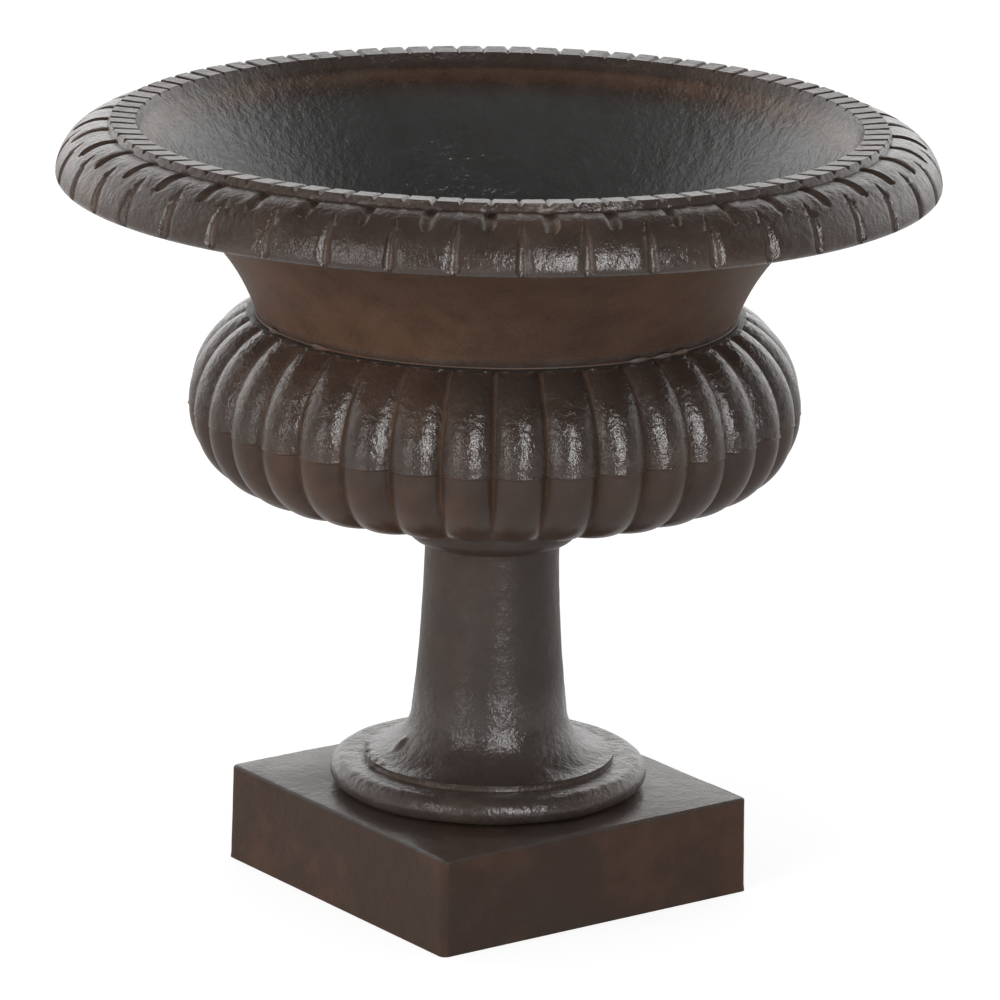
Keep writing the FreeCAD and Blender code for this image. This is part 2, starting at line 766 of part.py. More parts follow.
faulty = [thing for thing in doc.Objects if {"Invalid", "Error"} & set(thing.State)]
faults = [f"{thing.Label}: {thing.getStatusString()}" for thing in faulty]
faults += [f"{piece.Label}: shape" for piece in pieces if piece.Shape.isNull() or not piece.Shape.isValid()]
if faults:
    raise RuntimeError("; ".join(faults))

os.makedirs("parts", exist_ok=True)
for piece in pieces:
    piece.Shape.exportStep(f"parts/{piece.Label}.step")
    box = piece.Shape.BoundBox
    print(
        f"{piece.Label}: {len(piece.Shape.Solids)} solid(s), {piece.Shape.Volume / 1000:.1f} cm3,"
        f" z {box.ZMin:.2f} to {box.ZMax:.2f}"
    )
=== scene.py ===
"""Looks of a cast iron garden urn: its castings, putty and fasteners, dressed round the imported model."""
import logging
import math
import random
from dataclasses import dataclass
from enum import Enum
from typing import Any, Callable, NamedTuple

import bmesh
import bpy
from mathutils import Matrix, Vector, noise


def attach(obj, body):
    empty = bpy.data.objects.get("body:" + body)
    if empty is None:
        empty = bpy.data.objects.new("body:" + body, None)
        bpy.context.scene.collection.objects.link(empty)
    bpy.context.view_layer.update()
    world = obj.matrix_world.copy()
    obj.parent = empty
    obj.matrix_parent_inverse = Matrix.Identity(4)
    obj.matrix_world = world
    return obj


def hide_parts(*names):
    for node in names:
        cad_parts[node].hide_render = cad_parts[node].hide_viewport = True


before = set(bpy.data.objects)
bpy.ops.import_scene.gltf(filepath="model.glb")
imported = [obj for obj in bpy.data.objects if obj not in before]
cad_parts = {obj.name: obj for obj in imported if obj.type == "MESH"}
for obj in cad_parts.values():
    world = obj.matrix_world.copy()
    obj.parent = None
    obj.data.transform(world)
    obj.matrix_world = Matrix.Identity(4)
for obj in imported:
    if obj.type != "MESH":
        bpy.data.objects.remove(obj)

MM = 0.001
FULL_TURN = 2 * math.pi
ORIGIN = Vector((0.0, 0.0, 0.0))
UP = Vector((0.0, 0.0, 1.0))
SEED_SPREAD = (1.0, 2.7, -1.3)  # Shift of a noise for each unit of its seed.
NEAR = 0.01  # Slack in millimetres when a point is told from the end of a run.
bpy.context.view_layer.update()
LOG = logging.getLogger("garden_urn")

Mesh = bmesh.types.BMesh
Vert = bmesh.types.BMVert
Socket = bpy.types.NodeSocket
Node = bpy.types.Node
Material = bpy.types.Material
Thing = bpy.types.Object
Colour = tuple[float, float, float]
Ends = dict[str, float]


class Slot(Enum):
    """Material slots."""

    IRON = "cast_iron"
    PUTTY = "putty"
    STEEL = "steel"


class LampUse(Enum):
    """What a lamp is hung for."""

    FILL = "soft light without a mirror image"
    STREAK = "a mirror image in glossy skins alone"


class Bend(Enum):
    """Side to which an arc turns on its way along an outline."""

    LEFT = 1
    RIGHT = -1


class Layer(Enum):
    """Values that every point of a casting carries."""

    ALONG = "along"
    RUST_AND_PAINTED_LIGHT = "rust_and_painted_light"
    PEEL = "peel"
    SHEEN = "sheen"
    GREY = "grey"


class Run(NamedTuple):
    """A run of an outline, round if it has a radius, with its end and row spacing in millimetres."""

    name: str
    across: float
    up: float
    spacing: float
    radius: float = 0.0
    bend: Bend = Bend.LEFT


class Skin(NamedTuple):
    """Skin of a stretch of a casting: how uneven, glossy and grey it is, each from 0 to 1."""

    peel: float
    sheen: float
    grey: float = 0.0

    def toward(self, other: "Skin", share: float) -> "Skin":
        """A skin between this one and another."""
        return Skin(*(first + (second - first) * share for first, second in zip(self, other)))


class Cloud(NamedTuple):
    """Noise of a finish: width of its swells in millimetres, number of finer layers and their strength."""

    size: float
    detail: float
    rough: float = 0.5


class Bore(NamedTuple):
    """Upright holes of one radius, drilled from a high level to a low one, in millimetres."""

    centres: list[tuple[float, float]]
    radius: float
    low: float
    high: float


class Waver(NamedTuple):
    """Smooth unevenness, with the height and width of its swells in millimetres."""

    height: float
    width: float
    seed: float

    def at(self, place: Vector) -> float:
        """Rise or fall in millimetres at a place in metres."""
        shift = Vector([share * self.seed for share in SEED_SPREAD])
        return self.height * noise.noise(place / (self.width * MM) + shift)


def smooth_step(low: float, high: float, value: float) -> float:
    """Eases from 0 at the low end to 1 at the high end."""
    share = min(1.0, max(0.0, (value - low) / (high - low)))
    return share * share * (3.0 - 2.0 * share)


def fade(low: float, high: float, value: float) -> float:
    """Eases from 1 at the low end to 0 at the high end."""
    return 1.0 - smooth_step(low, high, value)


def round_end(share: float) -> float:
    """Half width of a round end, from 1 where it starts to 0 at its tip."""
    return math.sqrt(max(0.0, 1.0 - share * share))


def layers_of(mesh: Mesh) -> list[bmesh.types.BMLayerItem]:
    """Handles of a mesh's layers, in the order in which Layer lists them."""
    return [mesh.verts.layers.float[layer.value] for layer in Layer]


class Outline:
    """A side outline in the XZ plane, drawn run by run in millimetres, ready to be spun round the axis."""

    SPIN_AXIS = (0.0, 1.0, 0.0)

    def __init__(self, mesh: Mesh, across: float, up: float) -> None:
        """Sets the first point, at a distance from the axis and a height."""
        self.mesh = mesh
        self.along = mesh.verts.layers.float[Layer.ALONG.value]
        self.first = mesh.verts.new((across * MM, 0.0, up * MM))
        self.last = self.first
        self.length = 0.0
        self.ends: Ends = {}

    def draw(self, runs: tuple[Run, ...]) -> Ends:
        """Adds runs, the last of which may lead back to the first point.

        Args:
            runs: The runs in their order, each with the spacing of the rows that it gives.

        Returns:
            How far along the outline each run ends.
        """
        for run in runs:
            if run.radius:
                self._arc(run)
            else:
                self._line(run)
        bmesh.ops.remove_doubles(self.mesh, verts=[self.first, self.last], dist=Workshop.WELD)
        return self.ends

    def _line(self, run: Run) -> None:
        """Adds a straight run."""
        start = self.last.co.copy()
        chord = Vector((run.across * MM, 0.0, run.up * MM)) - start
        steps = max(1, round(chord.length / (run.spacing * MM)))
        known = set(self.mesh.verts)
        made = bmesh.ops.spin(self.mesh, geom=[self.last], axis=self.SPIN_AXIS,
                              dvec=chord / steps, steps=steps)
        self._close_run(run.name, known, made["geom_last"][0], lambda vert: (vert.co - start).length / MM)

    def _arc(self, run: Run) -> None:
        """Adds a round run."""
        start = self.last.co.copy()
        radius = run.radius
        chord = Vector((run.across * MM, 0.0, run.up * MM)) - start
        sideways = Vector((-chord.z, 0.0, chord.x)).normalized() * run.bend.value
        rise = math.sqrt(max(0.0, (radius * MM) ** 2 - (chord.length / 2) ** 2))
        centre = start + chord / 2 + sideways * rise
        angle = 2 * math.asin(min(1.0, chord.length / (2 * radius * MM)))
        steps = max(1, round(angle * radius / run.spacing))
        known = set(self.mesh.verts)
        made = bmesh.ops.spin(self.mesh, geom=[self.last], cent=centre, axis=self.SPIN_AXIS,
                              angle=-angle * run.bend.value, steps=steps)
        spoke = start - centre
        self._close_run(run.name, known, made["geom_last"][0],
                        lambda vert: spoke.angle(vert.co - centre) * radius)

    def _close_run(self, name: str, known: set, tip: Vert, way: Callable[[Vert], float]) -> None:
        """Notes how far along the outline the run's points lie."""
        for vert in set(self.mesh.verts) - known:
            vert[self.along] = self.length + way(vert)
        self.length = max(vert[self.along] for vert in self.mesh.verts)
        self.ends[name] = self.length
        self.last = tip


class Workshop:
    """Starts meshes and turns finished ones into pieces that ride on the urn."""

    BODY = "root"
    SHARP_ANGLE = math.radians(50.0)
    WELD = 1e-6
    DRILL_SEGMENTS = 48

    @staticmethod
    def start() -> Mesh:
        """An empty mesh with the layers of a casting."""
        mesh = bmesh.new()
        for layer in Layer:
            mesh.verts.layers.float.new(layer.value)
        return mesh

    @staticmethod
    def turn(mesh: Mesh, steps: int, phase: float) -> None:
        """Spins the outline in a mesh into a closed casting.

        Args:
            mesh: The mesh that holds the outline.
            steps: Number of columns round the axis.
            phase: Angle in degrees of the first column.
        """
        bmesh.ops.spin(mesh, geom=mesh.verts[:] + mesh.edges[:], cent=ORIGIN, axis=UP,
                       angle=FULL_TURN, steps=steps, use_merge=True)
        bmesh.ops.remove_doubles(mesh, verts=mesh.verts[:], dist=Workshop.WELD)
        bmesh.ops.rotate(mesh, verts=mesh.verts[:], cent=ORIGIN,
                         matrix=Matrix.Rotation(math.radians(phase), 3, "Z"))
        bmesh.ops.recalc_face_normals(mesh, faces=mesh.faces[:])
        mesh.normal_update()

    @staticmethod
    def place(mesh: Mesh, name: str) -> Thing:
        """Makes an object in the scene from a mesh, which is used up."""
        data = bpy.data.meshes.new(name)
        mesh.to_mesh(data)
        mesh.free()
        made = bpy.data.objects.new(name, data)
        bpy.context.scene.collection.objects.link(made)
        return made

    @staticmethod
    def deliver(mesh: Mesh, name: str, slot: Slot, material: Material, node: str) -> Thing:
        """Makes a piece from a mesh and puts it in the place of its CAD node.

        Args:
            mesh: The finished mesh, which is used up.
            name: Name of the piece.
            slot: Material slot; not used.
            material: Finish of the piece.
            node: CAD node that the piece stands for.

        Returns:
            The piece, riding on the urn.
        """
        bmesh.ops.recalc_face_normals(mesh, faces=mesh.faces[:])
        for face in mesh.faces:
            face.smooth = True
        for edge in mesh.edges:
            edge.smooth = edge.calc_face_angle(0.0) < Workshop.SHARP_ANGLE
        piece = Workshop.place(mesh, name)
        piece.data.materials.append(material)
        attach(piece, Workshop.BODY)
        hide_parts(node)
        LOG.info("%s: %d faces", name, len(piece.data.polygons))
        return piece

    @staticmethod
    def drill(piece: Thing, bore: Bore) -> None:
        """Bores upright holes through a piece."""
        mesh = bmesh.new()
        for across, along in bore.centres:
            middle = Vector((across, along, (bore.low + bore.high) / 2)) * MM
            bmesh.ops.create_cone(mesh, cap_ends=True, segments=Workshop.DRILL_SEGMENTS,
                                  radius1=bore.radius * MM, radius2=bore.radius * MM,
                                  depth=(bore.high - bore.low) * MM, matrix=Matrix.Translation(middle))
        drills = Workshop.place(mesh, "drills")
        holes = piece.modifiers.new("holes", "BOOLEAN")
        holes.operation = "DIFFERENCE"
        holes.solver = "EXACT"
        holes.object = drills
        bored = bpy.data.meshes.new_from_object(piece.evaluated_get(bpy.context.evaluated_depsgraph_get()))
        piece.modifiers.clear()
        plain = piece.data
        piece.data = bored
        bpy.data.meshes.remove(plain)
        bpy.data.objects.remove(drills)
        bored.name = piece.name


def operator(operation: str, swapped: bool = False) -> Callable[["Value", Any], "Value"]:
    """A method that adds a Math node for a value and another one, which comes first if they are swapped."""
    def combine(value: "Value", other: Any) -> "Value":
        """Combines two values."""
        first, second = (other, value) if swapped else (value, other)
        made = value.shader.node("ShaderNodeMath", {"operation": operation}, {0: first, 1: second})
        return Value(value.shader, made.outputs[0])
    return combine


class Value:
    """A number socket of a shader that takes part in Python arithmetic."""

    __add__ = operator("ADD")
    __radd__ = operator("ADD", swapped=True)
    __sub__ = operator("SUBTRACT")
    __rsub__ = operator("SUBTRACT", swapped=True)
    __mul__ = operator("MULTIPLY")
    __rmul__ = operator("MULTIPLY", swapped=True)
    at_most = operator("MINIMUM")
    at_least = operator("MAXIMUM")

    def __init__(self, shader: "Shader", socket: Socket) -> None:
        """Wraps a socket of a shader."""
        self.shader = shader
        self.socket = socket

    def eased(self, low: float, high: float) -> "Value":
        """Eases from 0 at the low end to 1 at the high end."""
        made = self.shader.node("ShaderNodeMapRange", {"interpolation_type": "SMOOTHSTEP"},
                                {"Value": self, "From Min": low, "From Max": high})
        return Value(self.shader, made.outputs["Result"])


class Shader:
    """A node tree that is filled by one method."""

    MIDDLE = 0.5  # Mean of a noise.

    def __init__(self, tree: bpy.types.NodeTree) -> None:
        """Empties a node tree and takes it over."""
        self.tree = tree
        tree.nodes.clear()

    def node(self, kind: str, settings: dict[str, Any] | None = None,
             inputs: dict[Any, Any] | None = None) -> Node:
        """Adds a node.

        Args:
            kind: Type name of the node.
            settings: Properties that are set first.
            inputs: Values or links by socket name or number.

        Returns:
            The node.
        """
        made = self.tree.nodes.new(kind)
        for name, setting in (settings or {}).items():
            setattr(made, name, setting)
        for key, given in (inputs or {}).items():
            socket = made.inputs[key]
            source = given.socket if isinstance(given, Value) else given
            if isinstance(source, Socket):
                self.tree.links.new(source, socket)
            elif socket.type == "RGBA":
                socket.default_value = (*source, 1.0)
            else:
                socket.default_value = source
        return made

    def number(self, node: Node, output: Any = 0) -> Value:
        """An output of a node as a value."""
        return Value(self, node.outputs[output])

    def layer(self, layer: Layer) -> Value:
        """A value that the points of a casting carry."""
        return self.number(self.node("ShaderNodeAttribute", {"attribute_name": layer.value}), "Fac")

    def place(self) -> Socket:
        """Object coordinates, in metres."""
        return self.node("ShaderNodeTexCoord").outputs["Object"]

    def cloud(self, place: Socket, cloud: Cloud) -> Value:
        """Noise from 0 to 1 at coordinates in metres."""
        scale = 1.0 / (cloud.size * MM)
        made = self.node("ShaderNodeTexNoise", {"noise_dimensions": "3D"},
                         {"Vector": place, "Scale": scale, "Detail": cloud.detail, "Roughness": cloud.rough})
        return self.number(made)

    def blend(self, share: Value, first: Any, second: Any) -> Socket:
        """Colour between two colours by a share from 0 to 1."""
        made = self.node("ShaderNodeMix", {"data_type": "RGBA", "clamp_factor": True},
                         {0: share, 6: first, 7: second})
        return made.outputs[2]

    def scaled(self, colour: Socket, share: Value) -> Socket:
        """Colour made lighter or darker by a factor."""
        made = self.node("ShaderNodeVectorMath", {"operation": "SCALE"}, {0: colour, "Scale": share})
        return made.outputs[0]

    def bump(self, height: Value) -> Socket:
        """Normal of a surface with a height given in metres."""
        inputs = {"Strength": 1.0, "Distance": 1.0, "Height": height}
        return self.node("ShaderNodeBump", None, inputs).outputs[0]

    def along(self, way: Socket, direction: Vector) -> Value:
        """How far a way points in a direction, from -1 to 1."""
        made = self.node("ShaderNodeVectorMath", {"operation": "DOT_PRODUCT"}, {0: way, 1: tuple(direction)})
        return self.number(made, "Value")


class Finish:
    """A named material, whose surface each kind of finish builds in its own way."""

    name: str

    def material(self) -> Material:
        """Builds the finish as a material."""
        material = bpy.data.materials.new(self.name)
        material.use_nodes = True
        shader = Shader(material.node_tree)
        surface = self._surface(shader)
        shader.node("ShaderNodeOutputMaterial", None, {"Surface": surface.outputs[0]})
        return material

    def _surface(self, shader: Shader) -> Node:
        """Adds the nodes of the surface and returns the last one."""
        raise NotImplementedError


@dataclass(frozen=True)
class IronFinish(Finish):
    """Waxed brown sand-cast iron, grey where it is sooty or worn and where the plinth faces up, with rust in
    its recesses.
    """

    name: str
    dark: Colour = (0.052, 0.027, 0.017)
    brown: Colour = (0.084, 0.040, 0.022)
    rust: Colour = (0.155, 0.090, 0.057)
    soot: Colour = (0.068, 0.067, 0.065)
    patches: Cloud = Cloud(75.0, 3.0, 0.55)
    mottle: Cloud = Cloud(16.0, 5.0, 0.6)
    grain: Cloud = Cloud(0.8, 2.0, 0.6)
    skin: Cloud = Cloud(3.0, 2.0, 0.55)
    swell: Cloud = Cloud(9.0, 1.0)
    brown_range: tuple[float, float] = (0.445, 0.685)
    brown_mottle: float = 0.45
    rust_range: tuple[float, float] = (0.2, 1.0)
    rust_share: float = 0.6
    rust_mottle: float = 0.5
    rust_grain: float = 0.6
    soot_mottle: float = 0.5
    shade: float = 0.668
    shade_grain: float = 0.34
    shade_mottle: float = 0.24
    matte: tuple[float, float] = (0.62, 0.16)
    waxed: tuple[float, float] = (0.21, 0.5)
    rough_mottle: float = 0.24
    rough_recess: float = 0.15
    grain_height: float = 0.00018
    smooth_grain: float = 0.35
    peel_height: float = 0.00060
    swell_height: float = 0.00080

    def _surface(self, shader: Shader) -> Node:
        """Mixes a matte and a waxed skin, each given by its roughness and its mirror strength."""
        place = shader.place()
        rust_and_painted_light, peel, sheen, grey = (
            shader.layer(layer) for layer in (Layer.RUST_AND_PAINTED_LIGHT, Layer.PEEL, Layer.SHEEN, Layer.GREY)
        )
        clouds = (self.patches, self.mottle, self.grain, self.skin, self.swell)
        patches, mottle, grain, skin, swell = (shader.cloud(place, cloud) for cloud in clouds)
        mottled = mottle - shader.MIDDLE
        brown_mask = (patches + self.brown_mottle * mottled).eased(*self.brown_range)
        # The mask holds rust in the hollows and, on the neck, a lift that is partly painted light against the
        # rim's shade.
        rust_and_painted_light_mask = rust_and_painted_light + self.rust_mottle * mottled + self.rust_grain * (grain - shader.MIDDLE)
        colour = shader.blend(brown_mask, self.dark, self.brown)
        colour = shader.blend(grey + self.soot_mottle * mottled, colour, self.soot)
        colour = shader.blend(self.rust_share * rust_and_painted_light_mask.eased(*self.rust_range), colour, self.rust)
        colour = shader.scaled(colour, self.shade + self.shade_grain * grain + self.shade_mottle * mottle)
        fine = self.grain_height * ((self.smooth_grain + (1.0 - self.smooth_grain) * peel) * grain)
        normal = shader.bump(fine + self.peel_height * (peel * skin) + self.swell_height * (peel * swell))
        uneven = self.rough_mottle * mottled + self.rough_recess * rust_and_painted_light
        skins = []
        for roughness, mirror in (self.matte, self.waxed):
            skins.append(shader.node("ShaderNodeBsdfPrincipled", None, {
                "Base Color": colour,
                "Roughness": roughness + uneven,
                "Specular IOR Level": mirror,
                "Normal": normal,
            }).outputs[0])
        return shader.node("ShaderNodeMixShader", None, {0: sheen, 1: skins[0], 2: skins[1]})


@dataclass(frozen=True)
class SteelFinish(Finish):
    """Dull plated steel of rods, nuts and bolts, with a little rust."""

    name: str
    bright: Colour = (0.36, 0.34, 0.31)
    stain: Colour = (0.17, 0.085, 0.045)
    mottle: Cloud = Cloud(7.0, 4.0, 0.6)
    grain: Cloud = Cloud(0.8, 2.0, 0.6)
    stain_range: tuple[float, float] = (0.46, 0.72)
    metallic: float = 0.9
    metallic_lost: float = 0.7
    roughness: float = 0.42
    rough_stain: float = 0.35
    rough_grain: float = 0.1
    grain_height: float = 0.00003

    def _surface(self, shader: Shader) -> Node:
        """Stains the plating."""
        place = shader.place()
        stain = shader.cloud(place, self.mottle).eased(*self.stain_range)
        grain = shader.cloud(place, self.grain)
        uneven = self.rough_stain * stain + self.rough_grain * (grain - shader.MIDDLE)
        return shader.node("ShaderNodeBsdfPrincipled", None, {
            "Base Color": shader.blend(stain, self.bright, self.stain),
            "Metallic": self.metallic - self.metallic_lost * stain,
            "Roughness": self.roughness + uneven,
            "Normal": shader.bump(self.grain_height * grain),
        })


@dataclass(frozen=True)
class PuttyFinish(Finish):
    """Jointing putty stained by rust."""

    name: str
    pale: Colour = (0.085, 0.055, 0.040)
    stained: Colour = (0.115, 0.052, 0.026)
    mottle: Cloud = Cloud(12.0, 4.0, 0.6)
    grain: Cloud = Cloud(1.0, 2.0, 0.6)
    stain_range: tuple[float, float] = (0.4, 0.65)
    roughness: float = 0.62
    rough_mottle: float = 0.2
    grain_height: float = 0.0001

    def _surface(self, shader: Shader) -> Node:
        """Stains the putty."""
        place = shader.place()
        mottle = shader.cloud(place, self.mottle)
        grain = shader.cloud(place, self.grain)
        return shader.node("ShaderNodeBsdfPrincipled", None, {
            "Base Color": shader.blend(mottle.eased(*self.stain_range), self.pale, self.stained),
            "Roughness": self.roughness + self.rough_mottle * (mottle - shader.MIDDLE),
            "Normal": shader.bump(self.grain_height * grain),
        })


@dataclass(frozen=True)
class FloorFinish(Finish):
    """Pale floor with a glow that only the camera and mirror images see."""

    name: str
    colour: Colour = (0.50, 0.50, 0.50)
    glow: float = 0.78

    def _surface(self, shader: Shader) -> Node:
        """Adds the glow to the paint."""
        rays = shader.node("ShaderNodeLightPath")
        seen = shader.number(rays, "Is Camera Ray") + shader.number(rays, "Is Glossy Ray")
        seen = (seen + shader.number(rays, "Is Transmission Ray")).at_most(1.0)
        paint = shader.node("ShaderNodeBsdfDiffuse", None, {"Color": self.colour})
        glow = shader.node("ShaderNodeEmission", None, {"Strength": seen * self.glow})
        return shader.node("ShaderNodeAddShader", None, {0: paint.outputs[0], 1: glow.outputs[0]})


class Piece:
    """A piece of the urn, shaped in its own way and put in the place of its CAD node."""

    name: str
    node: str
    slot = Slot.IRON

    def build(self, material: Material) -> Thing:
        """Builds the piece.

        Args:
            material: Finish of the piece.

        Returns:
            The piece, riding on the urn.
        """
        mesh = Workshop.start()
        self._shape(mesh)
        piece = Workshop.deliver(mesh, self.name, self.slot, material, self.node)
        bore = self._bore()
        if bore:
            Workshop.drill(piece, bore)
        return piece

    def _shape(self, mesh: Mesh) -> None:
        """Fills the mesh."""
        raise NotImplementedError

    def _bore(self) -> Bore | None:
        """Holes that are drilled last, if there are any."""
        return None


class TurnedPiece(Piece):
    """A piece whose outline is spun round the axis and then worked over."""

    START: tuple[float, float]
    RUNS: tuple[Run, ...]
    columns: int
    phase = 0.0

    def _shape(self, mesh: Mesh) -> None:
        """Spins the outline and works the mesh over."""
        ends = Outline(mesh, *self.START).draw(self.RUNS)
        Workshop.turn(mesh, self.columns, self.phase)
        self._work(mesh, ends)
        mesh.normal_update()

    def _work(self, mesh: Mesh, ends: Ends) -> None:
        """Moves the points and notes their skin, by how far along the outline each run ends."""
        raise NotImplementedError


class GougeKind(Enum):
    """Rows of gouges on the rolled rim."""

    UPPER = 0
    LOWER = 1


@dataclass(frozen=True)
class Gouge:
    """One gouge of the rim and the bead notch in line with it, cut by hand in the pattern."""

    kind: GougeKind
    shift: float
    width: float
    depth: float
    reach: float
    notch_depth: float
    notch_width: float

    UPPER_HALF = 3.1
    UPPER_STRAIGHT = 13.8
    UPPER_END = 18.2
    UPPER_DEPTH = 2.1
    UPPER_DIP = 0.5
    UPPER_DIP_END = 9.0
    LOWER_HALF = 3.3
    LOWER_START = 14.0
    LOWER_LENGTH = 25.6
    LOWER_TIP = 0.12
    LOWER_DEPTH = 1.1
    LOWER_FALL = 1.4
    LOWER_FALL_LENGTH = 20.0

    def half_width(self, way: float) -> float:
        """Half width in millimetres at a way from the bead's foot."""
        if self.kind is GougeKind.UPPER:
            straight, end = self.UPPER_STRAIGHT * self.reach, self.UPPER_END * self.reach
            return self.UPPER_HALF * self.width * round_end(max(0.0, (way - straight) / (end - straight)))
        share = (way - self.LOWER_START) / self.LOWER_LENGTH
        widest = 1.0 - self.LOWER_TIP
        if share < widest:
            return self.LOWER_HALF * self.width * math.sqrt(max(0.0, share / widest))
        return self.LOWER_HALF * self.width * round_end((share - widest) / self.LOWER_TIP)

    def middle_depth(self, way: float) -> float:
        """Depth in millimetres of the gouge's middle at a way from the bead's foot."""
        if self.kind is GougeKind.UPPER:
            return self.depth * (self.UPPER_DEPTH + self.UPPER_DIP * max(0.0, 1.0 - way / self.UPPER_DIP_END))
        share = min(1.0, max(0.0, (way - self.LOWER_START) / self.LOWER_FALL_LENGTH))
        return self.depth * (self.LOWER_DEPTH + self.LOWER_FALL * share)


@dataclass
class RimAndNeck(TurnedPiece):
    """Flared neck with a rolled rim, carved with two rows of gouges and a notched bead."""

    foot_level: float = 289.5
    foot_kept: float = 0.2
    top_level: float = 384.0
    gouge_pairs: int = 44
    phase: float = 3.47
    columns_per_gouge: int = 10
    edge_column: float = 3.0
    least_edge: float = 2.0
    notch_edge: float = 1.5
    hollow_power: float = 0.55
    gouge_rust: float = 0.5
    notch_rust: float = 0.3
    notch_rust_depth: float = 1.4
    bead_sheen: float = 0.45
    soot_reach: tuple[float, float] = (8.0, 24.0)
    # Share of rust-brown on the neck: partly real rust, partly painted light that lifts the neck out of the
    # rim's shade.
    neck_rust_and_painted_light: float = 0.64
    joint_rust: float = 0.12
    joint_rust_height: float = 7.0
    crease_rust: float = 0.15
    crease_width: float = 2.0
    mouth_rust: float = 0.75
    mouth_rust_reach: tuple[float, float] = (4.0, 20.0)
    set_back: float = 0.15
    seed: int = 7

    name = "rim_casting"
    node = "rim_and_neck"
    START = (117.8, 289.5)
    RUNS = (
        Run("neck", 172.0, 351.5, 4.6, 107.5, Bend.RIGHT),
        Run("hollow", 205.5, 354.0, 4.0, 19.0, Bend.RIGHT),
        Run("lip", 211.0, 354.0, 2.0),
        Run("lip_round", 215.0, 358.0, 1.1, 4.0),
        Run("ovolo", 190.0, 380.3, 1.1, 24.0),
        Run("bead_wall", 188.3, 384.0, 0.8),
        Run("bead_top", 176.3, 383.2, 2.0),
        Run("bead_inside", 173.7, 378.5, 1.1),
        Run("funnel", 109.5, 289.5, 5.2, 580.0),
        Run("foot", 117.8, 289.5, 2.8),
    )
    NECK_SKIN = Skin(peel=0.12, sheen=0.08)
    ROLL_SKIN = Skin(peel=0.75, sheen=0.65, grey=0.3)
    FUNNEL_SKIN = Skin(peel=1.0, sheen=0.9)
    LONG_WAVER = Waver(0.088, 40.0, 1.0)
    SHORT_WAVER = Waver(0.040, 9.0, 2.0)
    BEAD_WAVER = Waver(0.056, 3.0, 3.0)
    CHANCES = {
        "shift": (-0.5, 0.5), "width": (0.9, 1.08), "depth": (0.85, 1.1), "reach": (0.93, 1.05),
        "notch_depth": (1.7, 2.4), "notch_width": (1.5, 2.0),
    }

    @property
    def columns(self) -> int:
        """Number of columns round the axis."""
        return 2 * self.gouge_pairs * self.columns_per_gouge

    def _plan_gouges(self) -> list[Gouge]:
        """Small differences between the gouges, from a fixed seed."""
        chance = random.Random(self.seed)
        planned = []
        for index in range(2 * self.gouge_pairs):
            drawn = {name: chance.uniform(*limits) for name, limits in self.CHANCES.items()}
            planned.append(Gouge(GougeKind(index % 2), **drawn))
        return planned

    def _work(self, mesh: Mesh, ends: Ends) -> None:
        """Carves the rim, then makes the skin uneven."""
        self._carve(mesh, ends, self._plan_gouges())
        mesh.normal_update()
        self._cast(mesh, ends)

    def _carve(self, mesh: Mesh, ends: Ends, gouges: list[Gouge]) -> None:
        """Cuts the gouges into the roll and the notches into the bead.

        Args:
            mesh: The turned casting.
            ends: How far along the outline each run ends.
            gouges: The gouges in their order round the rim.
        """
        along, rust_and_painted_light, *_ = layers_of(mesh)
        pitch = FULL_TURN / len(gouges)
        start = math.radians(self.phase)
        for vert in mesh.verts:
            if not ends["lip"] < vert[along] <= ends["bead_inside"] + NEAR:
                continue
            radius = math.hypot(vert.co.x, vert.co.y) / MM
            turned = math.atan2(vert.co.y, vert.co.x) - start
            index = round(turned / pitch)
            gouge = gouges[index % len(gouges)]
            column = (turned - index * pitch) / pitch * self.columns_per_gouge
            way = ends["ovolo"] - vert[along]
            on_roll = way >= -NEAR
            half = gouge.half_width(way) if on_roll else 0.0
            edge = max(half, self.least_edge) if on_roll else self.notch_edge * gouge.notch_width
            offset = self._spread(column, edge, pitch * radius / 2)
            offset += gouge.shift * (1.0 - abs(column) / (self.columns_per_gouge / 2))
            angle = start + index * pitch + offset / radius
            place = Vector((radius * math.cos(angle), radius * math.sin(angle), vert.co.z / MM)) * MM
            across = abs(offset - gouge.shift)
            if across < half:
                depth = gouge.middle_depth(way) * (1.0 - (across / half) ** 2) ** self.hollow_power
                turn = Matrix.Rotation(angle - turned - start, 3, "Z")
                place -= (turn @ vert.normal) * depth * MM
                vert[rust_and_painted_light] = self.gouge_rust * min(1.0, depth)
            elif not on_roll and across < gouge.notch_width:
                floor = self.top_level - gouge.notch_depth * (1.0 - across / gouge.notch_width)
                if place.z > floor * MM:
                    vert[rust_and_painted_light] = self.notch_rust * min(1.0, (place.z / MM - floor) / self.notch_rust_depth)
                    place.z = floor * MM
            vert.co = place

    def _spread(self, column: float, half: float, limit: float) -> float:
        """Place in millimetres of a column, drawn to the edge of its gouge.

        Args:
            column: Number of columns from the gouge's middle.
            half: Half width of the gouge.
            limit: Distance to the middle of the land between two gouges.

        Returns:
            Signed distance from the gouge's middle.
        """
        last = self.columns_per_gouge / 2
        size = abs(column)
        if size <= self.edge_column:
            reach = half * size / self.edge_column
        else:
            reach = half + (limit - half) * (size - self.edge_column) / (last - self.edge_column)
        return math.copysign(reach, column)

